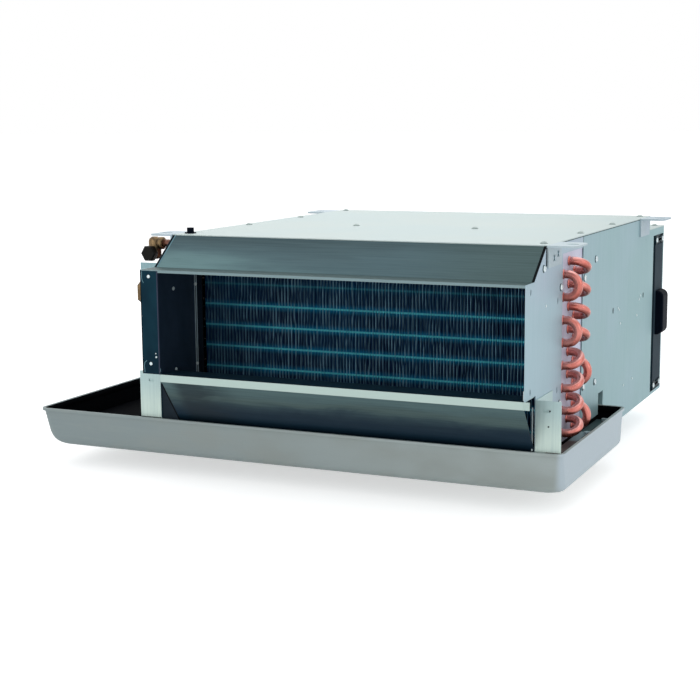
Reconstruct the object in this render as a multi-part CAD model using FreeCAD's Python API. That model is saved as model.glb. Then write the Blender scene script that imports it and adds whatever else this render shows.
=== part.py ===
import FreeCAD, Part
import math
import os

# Ducted fan coil unit, hung from a ceiling by four slotted ears.
# Millimetres. X runs across the unit, Y from the outlet to the return end, Z up.
# The model is laid out from the outlet plane (y = 0) and the underside of the drain pan (z = 0),
# and each piece is moved at the end so that the origin is the middle of the four hanging slots.

V = FreeCAD.Vector

# Casing
casing_width = 458.0
casing_depth = 647.0
casing_top = 260.0
casing_bottom = 8.0
sheet = 1.0
seat_gap = 0.3
panel_flange = 18.0
rear_cover_length = 89.0
rear_step = 18.5

# Outlet collar and hood
hood_lip_depth = 31.0
hood_top_edge = 74.0
outlet_top = 225.5
outlet_bottom = 97.0
outlet_lip = 8.5
outlet_ledge = 33.0
hood_front_hem = 3.0
hood_top_flange = 20.0
front_flange = 23.0
front_plate_rear = 133.0
front_plate_foot = 36.0
front_plate_strip = 250.0
plate_slots = ((16.0, 216.5), (115.0, 196.5), (17.5, 112.5), (116.0, 98.0))
plate_slot_width = 3.2
plate_slot_height = 7.2

# Drip sheet under the outlet
drip_foot_y = 47.0
drip_foot_z = 34.0

# Main side panels
main_panel_front = 216.0
panel_foot = 36.0
pan_notch_front = 296.0
pan_notch_top = 62.0
shelf_rear = 318.0

# Coil
tube_radius = 4.76
tube_pitch = 25.4
row_pitch = 22.0
tubes_high = 8
tube_rows = 3
first_row_y = 138.0
lowest_tube_z = 45.4
bend_straight = 3.0
tube_sheet_thickness = 1.5
tube_sheet_front = 118.0
tube_sheet_rear = 232.0
tube_sheet_flange = 11.0
tube_sheet_margin = 9.0
tube_sheet_foot = 34.0
tube_hole_gap = 0.25
fin_edge = 11.0
fin_pitch = 12.5
fin_thickness = 2.0
fin_groove = 5.0
hole_sides = 6
tube_sides = 8
round_sides = 20
bend_steps = 6

# Left end of the coil
header_radius = 11.0
header_x = 34.0
union_width = 32.0
union_length = 22.0
union_thread_radius = 12.06
union_thread_length = 16.0
union_neck_radius = 9.0
union_neck_length = 28.0
header_overhang = 10.0
return_union_z = 182.0
supply_union_z = 146.0

# Air vent on the front header
vent_pipe_radius = 5.0
vent_pipe_rise = 1.0
vent_arm_step = 1.0
vent_x = 66.5
vent_z = 243.0
vent_body_radius = 7.8
vent_body_drop = 12.0
vent_y_reach = 8.5
vent_cap_width = 18.0
vent_cap_length = 9.0
vent_spindle_radius = 3.0
vent_spindle_length = 7.0

# Connection bracket on the left side
bracket_reach = 76.0
bracket_y = 120.0
bracket_top = 220.0
bracket_foot = 62.0
bracket_tab = 14.0

# Drain pan
pan_left = -399.0
pan_right = 259.0
pan_front = 33.0
pan_rear = 306.0
pan_height = 46.0
pan_sheet = 1.5
pan_corner = 36.0
pan_draft_left = 7.0
pan_draft_right = 2.0
pan_draft_front = 5.0
pan_draft_rear = 3.0
pan_left_radius = 24.0
pan_bottom_radius = 5.0
pan_curve_step = 1.2
pan_rim = 2.0
pan_rim_height = 3.0
lining = 2.0
lining_top = 40.0
floor_right = 30.0
floor_slope = 0.0172
spigot_radius = 13.2
spigot_bore = 10.0
spigot_length = 24.0
spigot_x = -335.0
spigot_y = 235.0
spigot_collar = 19.0
spigot_collar_height = 4.0
spigot_nut_height = 4.0
spigot_nut_width = 34.0
spigot_end = 1.0
drain_well_gap = 1.0
gasket_height = 2.0

# Pan brackets, the two legs at the front
leg_y = 37.0
leg_reach = 28.0
leg_top = 101.0
leg_web_foot = 42.0
leg_web_rear = 97.0
rail_front = 50.0
rail_rear = 292.0
rail_reach = 22.0
rail_chamfer = 12.0
rail_bolts = (205.0, 285.0)
rail_gap = 0.1
leg_slot_x = 9.0
leg_slot_width = 7.0
leg_slot_drop = 12.0
leg_slot_height = 3.0
pan_bolt_head = 7.0
pan_bolt_height = 3.0
clip_width = 30.0
clip_x = 150.0
clip_wall_gap = 1.0

# Fan section
fan_deck_y = 236.0
deck_lip = 12.0
fan_y = 345.0
fan_z = 150.0
fan_x = 122.0
scroll_width = 120.0
scroll_radius = 75.0
scroll_step = 9.0
tongue_angle = 20.0
scroll_inlet_radius = 55.0
scroll_inlet_depth = 5.0
scroll_flange = 9.0
scroll_flange_top = 3.0
scroll_mouth_depth = 30.0
wheel_radius = 66.0
wheel_width = 104.0
blade_depth = 10.0
blade_count = 20
blade_thickness = 0.9
blade_lead = 9.0
blade_knee = 0.6
blade_knee_lead = 0.3
wheel_ring = 2.0
wheel_ring_lap = 1.0
wheel_disc = 1.5
hub_radius = 11.0
hub_length = 26.0
shaft_radius = 5.0
shaft_length = 330.0
shaft_gap = 0.05
seat_bore_gap = 0.02
bearing_gap = 0.03

# Motor
motor_radius = 46.0
motor_half = 32.0
motor_wall = 1.8
motor_hub_radius = 20.0
motor_hub_length = 12.0
motor_hole_gap = 2.0
stator_bore = 25.4
rotor_radius = 24.5
core_half = 18.0
bearing_radius = 12.0
bearing_length = 9.0
ring_radius = 28.0
ring_width = 6.0
mount_sheet = 1.5
mount_rear = 386.0
mount_half_height = 44.0

# Return end and filter
filter_inset = 28.0
filter_depth = 20.0
filter_bottom = 17.0
filter_top = 226.0
filter_border = 14.0
filter_left_gap = 6.0
filter_rib_depth = 2.0
filter_rib_height = 6.0
media_thickness = 8.0
media_sheet = 1.5
media_pleats = 22
guide_wall = 1.2
guide_lip = 9.0
slot_opening = 61.0
slot_rear_inset = 4.0
strip_front_gap = 13.0
slot_bottom = 12.0
slot_top = 231.0
strip_gap = 1.2
strip_thickness = 3.0
handle_height = 62.0
handle_width = 32.0
handle_depth = 11.0
handle_z = 122.0
handle_round = 7.7
handle_wall = 2.5
handle_end_wall = 6.0
handle_grip = 1.0
clip_height = 12.0
clip_screw_y = 18.0
return_border_side = 26.0
return_border_top = 22.0
return_border_bottom = 22.0
return_fold = 3.0
return_fold_reach = 200.0

# Hanging ears
ear_sheet = 2.0
ear_length = 50.0
ear_reach = 40.5
ear_drop = 24.0
ear_corner = 8.0
front_ear_y = 96.0
rear_ear_inset = 126.0
slot_x = 250.0
slot_width = 9.0
slot_length = 16.0

# Terminal box on the left side
box_front = 400.0
box_length = 90.0
box_bottom = 120.0
box_height = 70.0
box_depth = 40.0
box_wall = 1.2
gland_radius = 10.0
gland_throat = 8.0
gland_throat_gap = 0.1
gland_bore = 4.0
gland_length = 12.0
gland_nut_width = 22.0
gland_nut_height = 3.0
lid_lip = 6.0
block_depth = 16.0
block_end_gap = 18.0
block_rise = 30.0
block_height = 22.0
block_ways = 6
block_slot = 1.6
block_slot_depth = 6.0

# Small parts
screw_width = 7.0
screw_height = 2.4
top_screw_y = (96.0, 243.0, 392.0)
top_screw_inset = 15.0
middle_screw_x = 79.0
middle_screw_y = 270.0
rear_screw_inset = 12.0
side_screw_places = ((62.0, 236.5), (127.0, 210.0), (127.0, 81.0), (274.0, 227.5), (224.5, 210.0),
                     (277.0, 79.5), (224.5, 82.0))
rivet_z = (218.0, 117.5)
rivet_radius = 2.8
rivet_height = 1.6
plug_radius = 4.2
plug_height = 5.5
washer_radius = 7.0
washer_height = 1.2
plug_y = 96.0
edge_screw_x = 218.0
insulation = 6.0
insulation_side_gap = 2.0

half = casing_width / 2
inner = half - sheet
outlet_sill = outlet_bottom + outlet_lip
rear_top = casing_top - rear_step
top_panel_rear = casing_depth - rear_cover_length
rear_ear_y = casing_depth - rear_ear_inset
filter_y = casing_depth - filter_inset
slot_rear = casing_depth - slot_rear_inset
slot_front = slot_rear - slot_opening
strip_front = slot_front + strip_front_gap
strip_rear = slot_rear - strip_gap
row_y = [first_row_y + i * row_pitch for i in range(tube_rows)]
fin_front = first_row_y - fin_edge
fin_rear = row_y[-1] + fin_edge
fin_bottom = lowest_tube_z - tube_pitch / 4
fin_top = lowest_tube_z + tube_pitch * (tubes_high - 1) + tube_pitch * 3 / 4
sheet_top = fin_top + tube_sheet_margin
scroll_half = scroll_width / 2
scroll_top = fan_z + scroll_step / 2 + scroll_radius + 2 * scroll_step
insulation_bottom = casing_top - sheet - insulation
filter_left = -inner + filter_left_gap
filter_right = half - strip_thickness
guide_right = filter_right - seat_gap
origin = V(0, (front_ear_y + rear_ear_y) / 2, casing_top)


def box(x0, x1, y0, y1, z0, z1):
    return Part.makeBox(x1 - x0, y1 - y0, z1 - z0, V(x0, y0, z0))


def plate_yz(points, x0, x1):
    """Flat outline in Y and Z, given thickness along X."""
    wire = Part.makePolygon([V(x0, y, z) for y, z in points + points[:1]])
    return Part.Face(wire).extrude(V(x1 - x0, 0, 0))


def plate_xy(points, z0, z1):
    """Flat outline in X and Y, given thickness along Z."""
    wire = Part.makePolygon([V(x, y, z0) for x, y in points + points[:1]])
    return Part.Face(wire).extrude(V(0, 0, z1 - z0))


def rod(start, end, radius):
    along = end - start
    return Part.makeCylinder(radius, along.Length, start, along)


def rod_x(x0, x1, y, z, radius):
    return rod(V(min(x0, x1), y, z), V(max(x0, x1), y, z), radius)


def fuse(shapes):
    whole = shapes[0]
    if len(shapes) > 1:
        whole = whole.multiFuse(shapes[1:])
    return whole.removeSplitter()


def mirror_x(shape):
    return shape.mirror(V(0, 0, 0), V(1, 0, 0))


def prism(start, end, corner, sides):
    """Flat-sided bar between two points; corner is its radius at the corners."""
    turns = [2 * math.pi * i / sides for i in range(sides + 1)]
    face = Part.Face(Part.makePolygon([V(corner * math.cos(a), corner * math.sin(a), 0) for a in turns]))
    bar = face.extrude(V(0, 0, (end - start).Length))
    bar.Placement = FreeCAD.Placement(start, FreeCAD.Rotation(V(0, 0, 1), end - start))
    return bar


def hexagon(start, direction, width, length):
    """Hexagonal bar from start along direction, width across its flats."""
    return prism(start, start + direction * length, width / math.sqrt(3), 6)


def drum(x0, x1, radius):
    """Many-sided drum on the fan axis."""
    return prism(V(x0, fan_y, fan_z), V(x1, fan_y, fan_z), radius, round_sides)


def drum_ring(x0, x1, radius, bore):
    return drum(x0, x1, radius).cut(drum(x0, x1, bore))


def screws(places, direction):
    """Hexagon screw heads seated on a face, one for each place."""
    return Part.makeCompound([hexagon(place, direction, screw_width, screw_height) for place in places])


def rounded_rect(x0, x1, y0, y1, z, radius):
    """Closed wire with round corners."""
    x0c, x1c, y0c, y1c = x0 + radius, x1 - radius, y0 + radius, y1 - radius
    k = radius * math.sqrt(0.5)
    edges = [
        Part.makeLine(V(x0c, y0, z), V(x1c, y0, z)),
        Part.Arc(V(x1c, y0, z), V(x1c + k, y0c - k, z), V(x1, y0c, z)).toShape(),
        Part.makeLine(V(x1, y0c, z), V(x1, y1c, z)),
        Part.Arc(V(x1, y1c, z), V(x1c + k, y1c + k, z), V(x1c, y1, z)).toShape(),
        Part.makeLine(V(x1c, y1, z), V(x0c, y1, z)),
        Part.Arc(V(x0c, y1, z), V(x0c - k, y1c + k, z), V(x0, y1c, z)).toShape(),
        Part.makeLine(V(x0, y1c, z), V(x0, y0c, z)),
        Part.Arc(V(x0, y0c, z), V(x0c - k, y0c - k, z), V(x0c, y0, z)).toShape(),
    ]
    return Part.Wire(edges)


def tube_place(row, level):
    """Y and Z of one tube: row 0 is at the outlet, level 1 is the top; the middle row is half a pitch up."""
    lift = tube_pitch / 2 if row % 2 else 0
    return row_y[row], lowest_tube_z + tube_pitch * (tubes_high - level) + lift


def all_tubes():
    return [tube_place(row, level) for row in range(tube_rows) for level in range(1, tubes_high + 1)]


# Casing sheets
def make_top_panel():
    skin = box(-half, half, hood_top_edge, top_panel_rear, casing_top - sheet, casing_top)
    drop = box(-half, half, top_panel_rear - sheet, top_panel_rear, rear_top, casing_top - sheet)
    return fuse([skin, drop])


def make_outlet_hood():
    under = casing_top - sheet
    section = [
        (0, outlet_top), (hood_lip_depth, outlet_top), (hood_top_edge, under),
        (hood_top_edge + hood_top_flange, under), (hood_top_edge + hood_top_flange, under - sheet),
        (hood_top_edge + sheet, under - sheet), (hood_lip_depth + sheet, outlet_top - sheet),
        (0, outlet_top - sheet),
    ]
    skin = plate_yz(section, -inner, inner)
    hem = box(-half + front_flange + seat_gap, inner, 0, sheet,
              outlet_top - hood_front_hem, outlet_top - sheet)
    return fuse([skin, hem])


def front_plate_outline():
    under = casing_top - sheet
    return [
        (0, outlet_bottom), (0, outlet_top), (hood_lip_depth, outlet_top), (hood_top_edge, under),
        (main_panel_front - seat_gap, under), (main_panel_front - seat_gap, front_plate_strip),
        (front_plate_rear, front_plate_strip), (front_plate_rear, front_plate_foot),
        (rail_front, front_plate_foot), (leg_y + sheet, leg_web_foot), (leg_y + sheet, outlet_bottom),
    ]


def make_right_front_plate():
    """Plain plate beside the outlet, with two narrow holes near each end."""
    plate = plate_yz(front_plate_outline(), inner, half)
    w, h = plate_slot_width / 2, plate_slot_height / 2
    for y, z in plate_slots:
        plate = plate.cut(box(inner - sheet, half + sheet, y - w, y + w, z - h, z + h))
    return plate


def make_left_front_plate():
    """Same plate on the connection side, folded inward at the outlet."""
    plate = plate_yz(front_plate_outline(), -half, -inner)
    fold = box(-half, -half + front_flange, 0, sheet, outlet_bottom, outlet_top - sheet)
    return fuse([plate, fold])


def main_panel_outline():
    under = casing_top - sheet
    return [
        (main_panel_front, panel_foot), (main_panel_front, under), (top_panel_rear - sheet, under),
        (top_panel_rear - sheet, rear_top - sheet), (casing_depth - sheet, rear_top - sheet),
        (casing_depth - sheet, casing_bottom + sheet), (shelf_rear, casing_bottom + sheet),
        (shelf_rear, pan_notch_top), (pan_notch_front, pan_notch_top), (pan_notch_front, panel_foot),
    ]


def make_left_side_panel():
    plate = plate_yz(main_panel_outline(), -half, -inner)
    fold = box(-inner, -inner + panel_flange, main_panel_front + sheet, top_panel_rear - sheet,
               casing_top - 2 * sheet, casing_top - sheet)
    fold = fold.cut(box(-inner, inner, fan_deck_y, fan_deck_y + panel_flange, 0, casing_top))
    return fuse([plate, fold])


def make_right_side_panel():
    """Main panel with the tall slot that the filter slides out of."""
    slot = box(inner - panel_flange, half + sheet, slot_front, slot_rear, slot_bottom, slot_top)
    return mirror_x(make_left_side_panel()).cut(slot)


def make_bottom_panel():
    """Floor of the fan section, stepped up over the back of the drain pan."""
    low = box(-half, half, shelf_rear, casing_depth - sheet, casing_bottom, casing_bottom + sheet)
    riser = box(-inner, inner, shelf_rear, shelf_rear + sheet, casing_bottom + sheet, pan_notch_top)
    shelf = box(-inner, inner, fan_deck_y + sheet, shelf_rear + sheet, pan_notch_top, pan_notch_top + sheet)
    return fuse([low, riser, shelf])


def make_rear_top_cover():
    return box(-half, half, top_panel_rear, casing_depth - sheet, rear_top - sheet, rear_top)


def make_return_frame():
    """Picture-frame plate round the return opening, folded inward along its top and bottom."""
    plate = box(-half, half, casing_depth - sheet, casing_depth, casing_bottom, rear_top)
    window = box(-half + return_border_side, half - return_border_side, 0, 2 * casing_depth,
                 casing_bottom + return_border_bottom, rear_top - return_border_top)
    low, high = casing_bottom + sheet, rear_top - sheet
    front, rear = casing_depth - return_fold, casing_depth - sheet
    folds = [box(-return_fold_reach, return_fold_reach, front, rear, z, z + sheet)
             for z in (low, high - sheet)]
    return fuse([plate.cut(window)] + folds)


def make_front_drip_sheet():
    """Outlet sill with its ledge and front lip, then a slope that carries drips back into the pan."""
    section = [
        (0, outlet_sill), (outlet_ledge, outlet_sill), (outlet_ledge, outlet_sill - sheet),
        (sheet, outlet_sill - sheet), (sheet, outlet_bottom), (drip_foot_y + sheet, drip_foot_z),
        (drip_foot_y, drip_foot_z), (0, outlet_bottom),
    ]
    return plate_yz(section, -half + front_flange + seat_gap, inner)


def make_fan_deck():
    """Bulkhead behind the coil with one mouth for each fan."""
    deck = box(-inner, inner, fan_deck_y, fan_deck_y + sheet, pan_notch_top, casing_top - sheet)
    edge = inner - tube_sheet_flange - seat_gap
    floor_lip = box(-edge, edge, fan_deck_y - deck_lip, fan_deck_y, pan_notch_top, pan_notch_top + sheet)
    deck = fuse([deck, floor_lip])
    for side in (-1, 1):
        centre = side * fan_x
        low, high = outlet_mouth()
        deck = deck.cut(box(centre - scroll_half + sheet, centre + scroll_half - sheet,
                            0, casing_depth, low, high))
    return deck


# Coil
def make_tube_sheet():
    """Right end plate with its 24 tube holes; the left one is its mirror image."""
    outer = inner
    face = outer - tube_sheet_thickness
    edge = outer - tube_sheet_flange
    plate = box(face, outer, tube_sheet_front, tube_sheet_rear, tube_sheet_foot, sheet_top)
    front = box(edge, face, tube_sheet_front, tube_sheet_front + tube_sheet_thickness,
                tube_sheet_foot, sheet_top)
    rear = box(edge, face, tube_sheet_rear - tube_sheet_thickness, tube_sheet_rear,
               tube_sheet_foot, sheet_top)
    plate = fuse([plate, front, rear])
    return plate.cut(tube_holes(outer - 2 * tube_sheet_thickness, outer + sheet))


def tube_holes(x0, x1):
    """Flat-sided bars just wider than the tubes, one for each tube."""
    corner = (tube_radius + tube_hole_gap) / math.cos(math.pi / hole_sides)
    return Part.makeCompound([prism(V(x0, y, z), V(x1, y, z), corner, hole_sides) for y, z in all_tubes()])


def make_fin_pack():
    """Fins side by side on the tubes, cut apart at both faces and left joined through the middle."""
    reach = inner - tube_sheet_flange - seat_gap
    count = int(2 * reach / fin_pitch)
    start = -count * fin_pitch / 2
    front, rear = [], []
    for i in range(count):
        x = start + i * fin_pitch
        edges = (x + (fin_pitch - fin_thickness) / 2, x + (fin_pitch + fin_thickness) / 2)
        front += [(edges[0], fin_front + fin_groove), (edges[0], fin_front),
                  (edges[1], fin_front), (edges[1], fin_front + fin_groove)]
        rear += [(edges[0], fin_rear - fin_groove), (edges[0], fin_rear),
                 (edges[1], fin_rear), (edges[1], fin_rear - fin_groove)]
    outline = front + rear[::-1]
    wire = Part.makePolygon([V(x, y, fin_bottom) for x, y in outline + outline[:1]])
    pack = Part.Face(wire).extrude(V(0, 0, fin_top - fin_bottom))
    return pack.cut(tube_holes(-half, half))


def tube_ring(centre, across, up, radius):
    """Corners of a tube's section, square to its run."""
    turns = [2 * math.pi * i / tube_sides for i in range(tube_sides)]
    return [centre + across * (radius * math.cos(a)) + up * (radius * math.sin(a)) for a in turns]


def tube_skin(rings):
    """Closed tube whose flat sides run from ring to ring."""
    faces = [Part.Face(Part.makePolygon(ring + ring[:1])) for ring in (rings[0], rings[-1])]
    for near, far in zip(rings, rings[1:]):
        for i in range(tube_sides):
            j = (i + 1) % tube_sides
            faces.append(Part.Face(Part.makePolygon([near[i], near[j], far[j], far[i], near[i]])))
    solid = Part.makeSolid(Part.makeShell(faces))
    if solid.Volume < 0:
        solid.reverse()
    return solid


def u_tube(start, end, side, legs):
    """Half ring of tube that bulges along X to one side, with a straight leg at each end."""
    middle = (start + end) / 2
    out = start - middle
    bend = out.Length
    out.normalize()
    heading = V(side, 0, 0)
    up = heading.cross(out)
    rings = [tube_ring(start - heading * legs, out, up, tube_radius)]
    for step in range(bend_steps + 1):
        a = math.pi * step / bend_steps
        radial = out * math.cos(a) + heading * math.sin(a)
        rings.append(tube_ring(middle + radial * bend, radial, up, tube_radius))
    rings.append(tube_ring(end - heading * legs, out * -1, up, tube_radius))
    return tube_skin(rings)


def elbow_tube(start, corner, end, bend, radius):
    """Tube from start to end that turns one corner on the given bend radius."""
    first = (corner - start).normalize()
    second = (end - corner).normalize()
    up = first.cross(second)
    centre = corner - first * bend + second * bend
    rings = [tube_ring(start, second * -1, up, radius)]
    for step in range(bend_steps // 2 + 1):
        a = math.pi * step / bend_steps
        radial = first * math.sin(a) - second * math.cos(a)
        rings.append(tube_ring(centre + radial * bend, radial, up, radius))
    rings.append(tube_ring(end, first, up, radius))
    return tube_skin(rings)


def make_hairpins():
    """Twelve U tubes whose bends stand out at the right end."""
    pairs = [((0, 1), (0, 2)), ((0, 3), (0, 4)), ((2, 5), (2, 6)), ((2, 7), (2, 8))]
    pairs += [((1, level), (2, level)) for level in range(1, 5)]
    pairs += [((0, level), (1, level)) for level in range(5, 9)]
    x = inner + bend_straight
    ends = [(V(x, *tube_place(*a)), V(x, *tube_place(*b))) for a, b in pairs]
    return Part.makeCompound([u_tube(start, end, 1, 2 * x) for start, end in ends])


def make_return_bends():
    """Ten bends at the left end that join the hairpins into two circuits."""
    pairs = [((0, 2), (0, 3)), ((0, 4), (1, 4)), ((2, 4), (2, 3)), ((1, 3), (1, 2)), ((2, 2), (2, 1)),
             ((0, 5), (0, 6)), ((1, 6), (1, 7)), ((0, 7), (0, 8)), ((1, 8), (2, 8)), ((2, 7), (2, 6))]
    x = -inner - 2 * bend_straight
    leg = bend_straight - tube_hole_gap
    ends = [(V(x, *tube_place(*a)), V(x, *tube_place(*b))) for a, b in pairs]
    return Part.makeCompound([u_tube(start, end, -1, leg) for start, end in ends])


def header_axis():
    return -inner - header_x


def feed_pipe(row, level, towards):
    """Pipe from a tube end to a header: straight, or with one elbow towards +Y or -Y."""
    y, z = tube_place(row, level)
    start = V(-inner - bend_straight - tube_hole_gap, y, z)
    corner = V(header_axis(), y, z)
    if towards == 0:
        return prism(start, corner, tube_radius, tube_sides)
    end = V(header_axis(), y + towards * row_pitch, z)
    return elbow_tube(start, corner, end, row_pitch / 2, tube_radius)


def header_barrel(y, low, high):
    return prism(V(header_axis(), y, low), V(header_axis(), y, high), header_radius, round_sides)


def make_front_header():
    """Outlet manifold of the coil, at the front row, with its two feed pipes."""
    high = tube_place(0, 1)[1] + header_overhang
    low = tube_place(1, 5)[1] - header_overhang
    return fuse([header_barrel(first_row_y, low, high), feed_pipe(0, 1, 0), feed_pipe(1, 5, -1)])


def make_rear_header():
    """Inlet manifold of the coil, at the rear row."""
    high = tube_place(1, 1)[1] + header_overhang
    low = tube_place(2, 5)[1] - header_overhang
    return fuse([header_barrel(row_y[-1], low, high), feed_pipe(2, 5, 0), feed_pipe(1, 1, 1)])


def make_union(y, z):
    """Brass pipe union: neck on the header, then a hexagon with a threaded mouth."""
    x = header_axis() - union_neck_length
    neck = prism(V(header_axis(), y, z), V(x, y, z), union_neck_radius, round_sides)
    nut = hexagon(V(x, y, z), V(-1, 0, 0), union_width, union_length)
    end = x - union_length
    mouth = rod(V(end, y, z), V(end + union_thread_length, y, z), union_thread_radius)
    return fuse([neck, nut]).cut(mouth).cut(header_barrel(y, z - union_width, z + union_width))


def vent_axis():
    return -inner - vent_x


def make_vent_pipe():
    """Copper pipe from the top of the front header, up and out to the vent elbow."""
    base = tube_place(0, 1)[1] + header_overhang
    bend = vent_z - base - vent_pipe_rise
    start = V(header_axis(), first_row_y, base)
    corner = V(header_axis(), first_row_y, vent_z)
    end = V(vent_axis() + vent_body_radius, first_row_y, vent_z)
    return elbow_tube(start, corner, end, bend, vent_pipe_radius)


def make_vent_elbow():
    """Brass elbow that hangs from the pipe and turns towards the front."""
    x = vent_axis()
    low = vent_z - vent_body_drop
    post = prism(V(x, first_row_y, low - vent_body_radius), V(x, first_row_y, vent_z + vent_body_radius),
                 vent_body_radius, round_sides // 2)
    arm = prism(V(x, first_row_y, low), V(x, first_row_y - vent_y_reach, low),
                vent_body_radius - vent_arm_step, round_sides // 2)
    seat = rod(V(x, first_row_y - vent_y_reach, low),
               V(x, first_row_y - vent_y_reach + vent_spindle_length + sheet, low), vent_spindle_radius)
    return fuse([post, arm]).cut(seat)


def make_vent_cap():
    """Hexagonal bleed cap on a spindle that turns in the elbow's mouth."""
    x = vent_axis()
    low = vent_z - vent_body_drop
    face = V(x, first_row_y - vent_y_reach - seat_gap, low)
    cap = hexagon(face, V(0, -1, 0), vent_cap_width, vent_cap_length)
    spindle = rod(face, face + V(0, vent_spindle_length, 0), vent_spindle_radius - bearing_gap)
    return fuse([cap, spindle])


def make_connection_bracket():
    """Plate across the front of the pipe connections, folded back against the casing."""
    x0 = -half - bracket_reach
    plate = box(x0, -half, bracket_y, bracket_y + sheet, bracket_foot, bracket_top)
    tab = box(-half - sheet, -half, bracket_y - bracket_tab, bracket_y, bracket_foot, bracket_top)
    return fuse([plate, tab])


# Drain pan
def pan_inset(z, inset, draft, radius):
    """How far a pan wall stands in from the rim line at height z: its slope, then its bottom curve."""
    lean = inset + draft * (1 - z / pan_height)
    rise = z - inset
    curve = radius - inset
    if rise >= curve:
        return lean
    return lean + curve - math.sqrt(curve ** 2 - (curve - rise) ** 2)


def pan_body(inset, top):
    """Tray volume up to a height, shrunk by inset; its left end has the large bottom curve."""
    heights = [inset, inset + pan_curve_step, pan_bottom_radius, pan_left_radius / 2, pan_left_radius, top]
    outlines = []
    for z in heights:
        left = pan_inset(z, inset, pan_draft_left, pan_left_radius)
        right = pan_inset(z, inset, pan_draft_right, pan_bottom_radius)
        front = pan_inset(z, inset, pan_draft_front, pan_bottom_radius)
        rear = pan_inset(z, inset, pan_draft_rear, pan_bottom_radius)
        outlines.append(rounded_rect(pan_left + left, pan_right - right, pan_front + front, pan_rear - rear,
                                     z, pan_corner - front))
    return Part.makeLoft(outlines, True, True)


def make_drain_pan():
    rim_outer = rounded_rect(pan_left - pan_rim, pan_right + pan_rim, pan_front - pan_rim,
                             pan_rear + pan_rim, pan_height - pan_rim_height, pan_corner + pan_rim)
    rim = Part.Face(rim_outer).extrude(V(0, 0, pan_rim_height))
    pan = fuse([pan_body(0, pan_height), rim]).cut(pan_body(pan_sheet, pan_height))
    return pan.cut(drain_hole(spigot_radius + seat_gap))


def drain_hole(radius):
    """Many-sided hole on the drain's axis that clears a round of this radius."""
    corner = radius / math.cos(math.pi / round_sides)
    low, high = V(spigot_x, spigot_y, -2 * spigot_length), V(spigot_x, spigot_y, pan_height)
    return prism(low, high, corner, round_sides)


def floor_z(x):
    """Height of the lining's floor, which falls towards the drain."""
    return floor_right - (pan_right - x) * floor_slope


def make_pan_lining():
    """Black moulded lining: thin walls, and a thick floor that falls towards the drain."""
    x0, x1 = pan_left, pan_right
    corners = [(x0, floor_z(x0)), (x1, floor_z(x1)), (x1, pan_height), (x0, pan_height)]
    wire = Part.makePolygon([V(x, 0, z) for x, z in corners + corners[:1]])
    above_floor = Part.Face(wire).extrude(V(0, 2 * pan_rear, 0))
    hollow = pan_body(pan_sheet + lining, lining_top).common(above_floor)
    return pan_body(pan_sheet, lining_top).cut(hollow).cut(drain_hole(spigot_collar + drain_well_gap))


def make_drain_spigot():
    """Threaded tail under the pan with a collar below the floor."""
    top = -gasket_height
    stub = pan_sheet + spigot_nut_height + spigot_end
    tail = rod(V(spigot_x, spigot_y, top - spigot_length), V(spigot_x, spigot_y, stub), spigot_radius)
    collar = hexagon(V(spigot_x, spigot_y, top), V(0, 0, -1), 2 * spigot_collar, spigot_collar_height)
    return fuse([tail, collar]).cut(drain_hole(spigot_bore))


def make_drain_gasket():
    low, high = V(spigot_x, spigot_y, -gasket_height), V(spigot_x, spigot_y, 0)
    washer = prism(low, high, spigot_collar, round_sides)
    return washer.cut(drain_hole(spigot_radius))


def make_drain_nut():
    """Thin back nut on the spigot, inside the pan."""
    nut = hexagon(V(spigot_x, spigot_y, pan_sheet), V(0, 0, 1), spigot_nut_width, spigot_nut_height)
    return nut.cut(drain_hole(spigot_radius))


def rail_foot(side):
    """Underside of a bracket's rail, just clear of the highest floor under it."""
    return floor_z(half + rail_reach if side > 0 else -half) + rail_gap


def make_pan_bracket(side):
    """Leg that carries the pan: wing facing front, web on the casing side, rail along the pan floor."""
    x0, x1 = half, half + rail_reach
    low = rail_foot(side)
    high = low + sheet
    wing = box(x0, x0 + leg_reach, leg_y, leg_y + sheet, pan_height + seat_gap, leg_top)
    outline = [
        (leg_y + sheet, leg_top), (leg_web_rear, leg_top), (leg_web_rear, high), (rail_rear, high),
        (rail_rear, low), (rail_front, low), (leg_y + sheet, leg_web_foot),
    ]
    web = plate_yz(outline, x0, x0 + sheet)
    plan = [
        (x0, rail_front), (x1 - rail_chamfer, rail_front), (x1, rail_front + rail_chamfer),
        (x1, rail_rear - rail_chamfer), (x1 - rail_chamfer, rail_rear), (x0, rail_rear),
    ]
    rail = plate_xy(plan, low, high)
    slot_top = leg_top - leg_slot_drop + leg_slot_height
    slot = box(x0 + leg_slot_x, x0 + leg_slot_x + leg_slot_width, 0, leg_y + sheet,
               slot_top - leg_slot_height, slot_top)
    leg = fuse([wing, web, rail]).cut(slot)
    return leg if side > 0 else mirror_x(leg)


def make_pan_bolts():
    """Hexagon heads on the two rails."""
    heads = []
    for side in (-1, 1):
        x = side * (half + (rail_reach + sheet) / 2)
        seat = rail_foot(side) + sheet
        heads += [hexagon(V(x, y, seat), V(0, 0, 1), pan_bolt_head, pan_bolt_height) for y in rail_bolts]
    return Part.makeCompound(heads)


def make_rear_pan_clips():
    """Two hooks on the riser that carry the back rim of the pan."""
    solids = []
    for x in (-clip_x, clip_x):
        back = box(x - clip_width / 2, x + clip_width / 2, shelf_rear - sheet, shelf_rear,
                   pan_height - pan_rim_height - sheet, pan_notch_top)
        hook = box(x - clip_width / 2, x + clip_width / 2, pan_rear + clip_wall_gap, shelf_rear - sheet,
                   pan_height - pan_rim_height - sheet, pan_height - pan_rim_height)
        solids.append(fuse([back, hook]))
    return Part.makeCompound(solids)


# Fans
def outlet_mouth():
    """Lowest and highest Z of the fan outlets."""
    a = math.radians(tongue_angle)
    return fan_z - scroll_step / 2 + scroll_radius * math.sin(a), scroll_top - sheet


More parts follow.
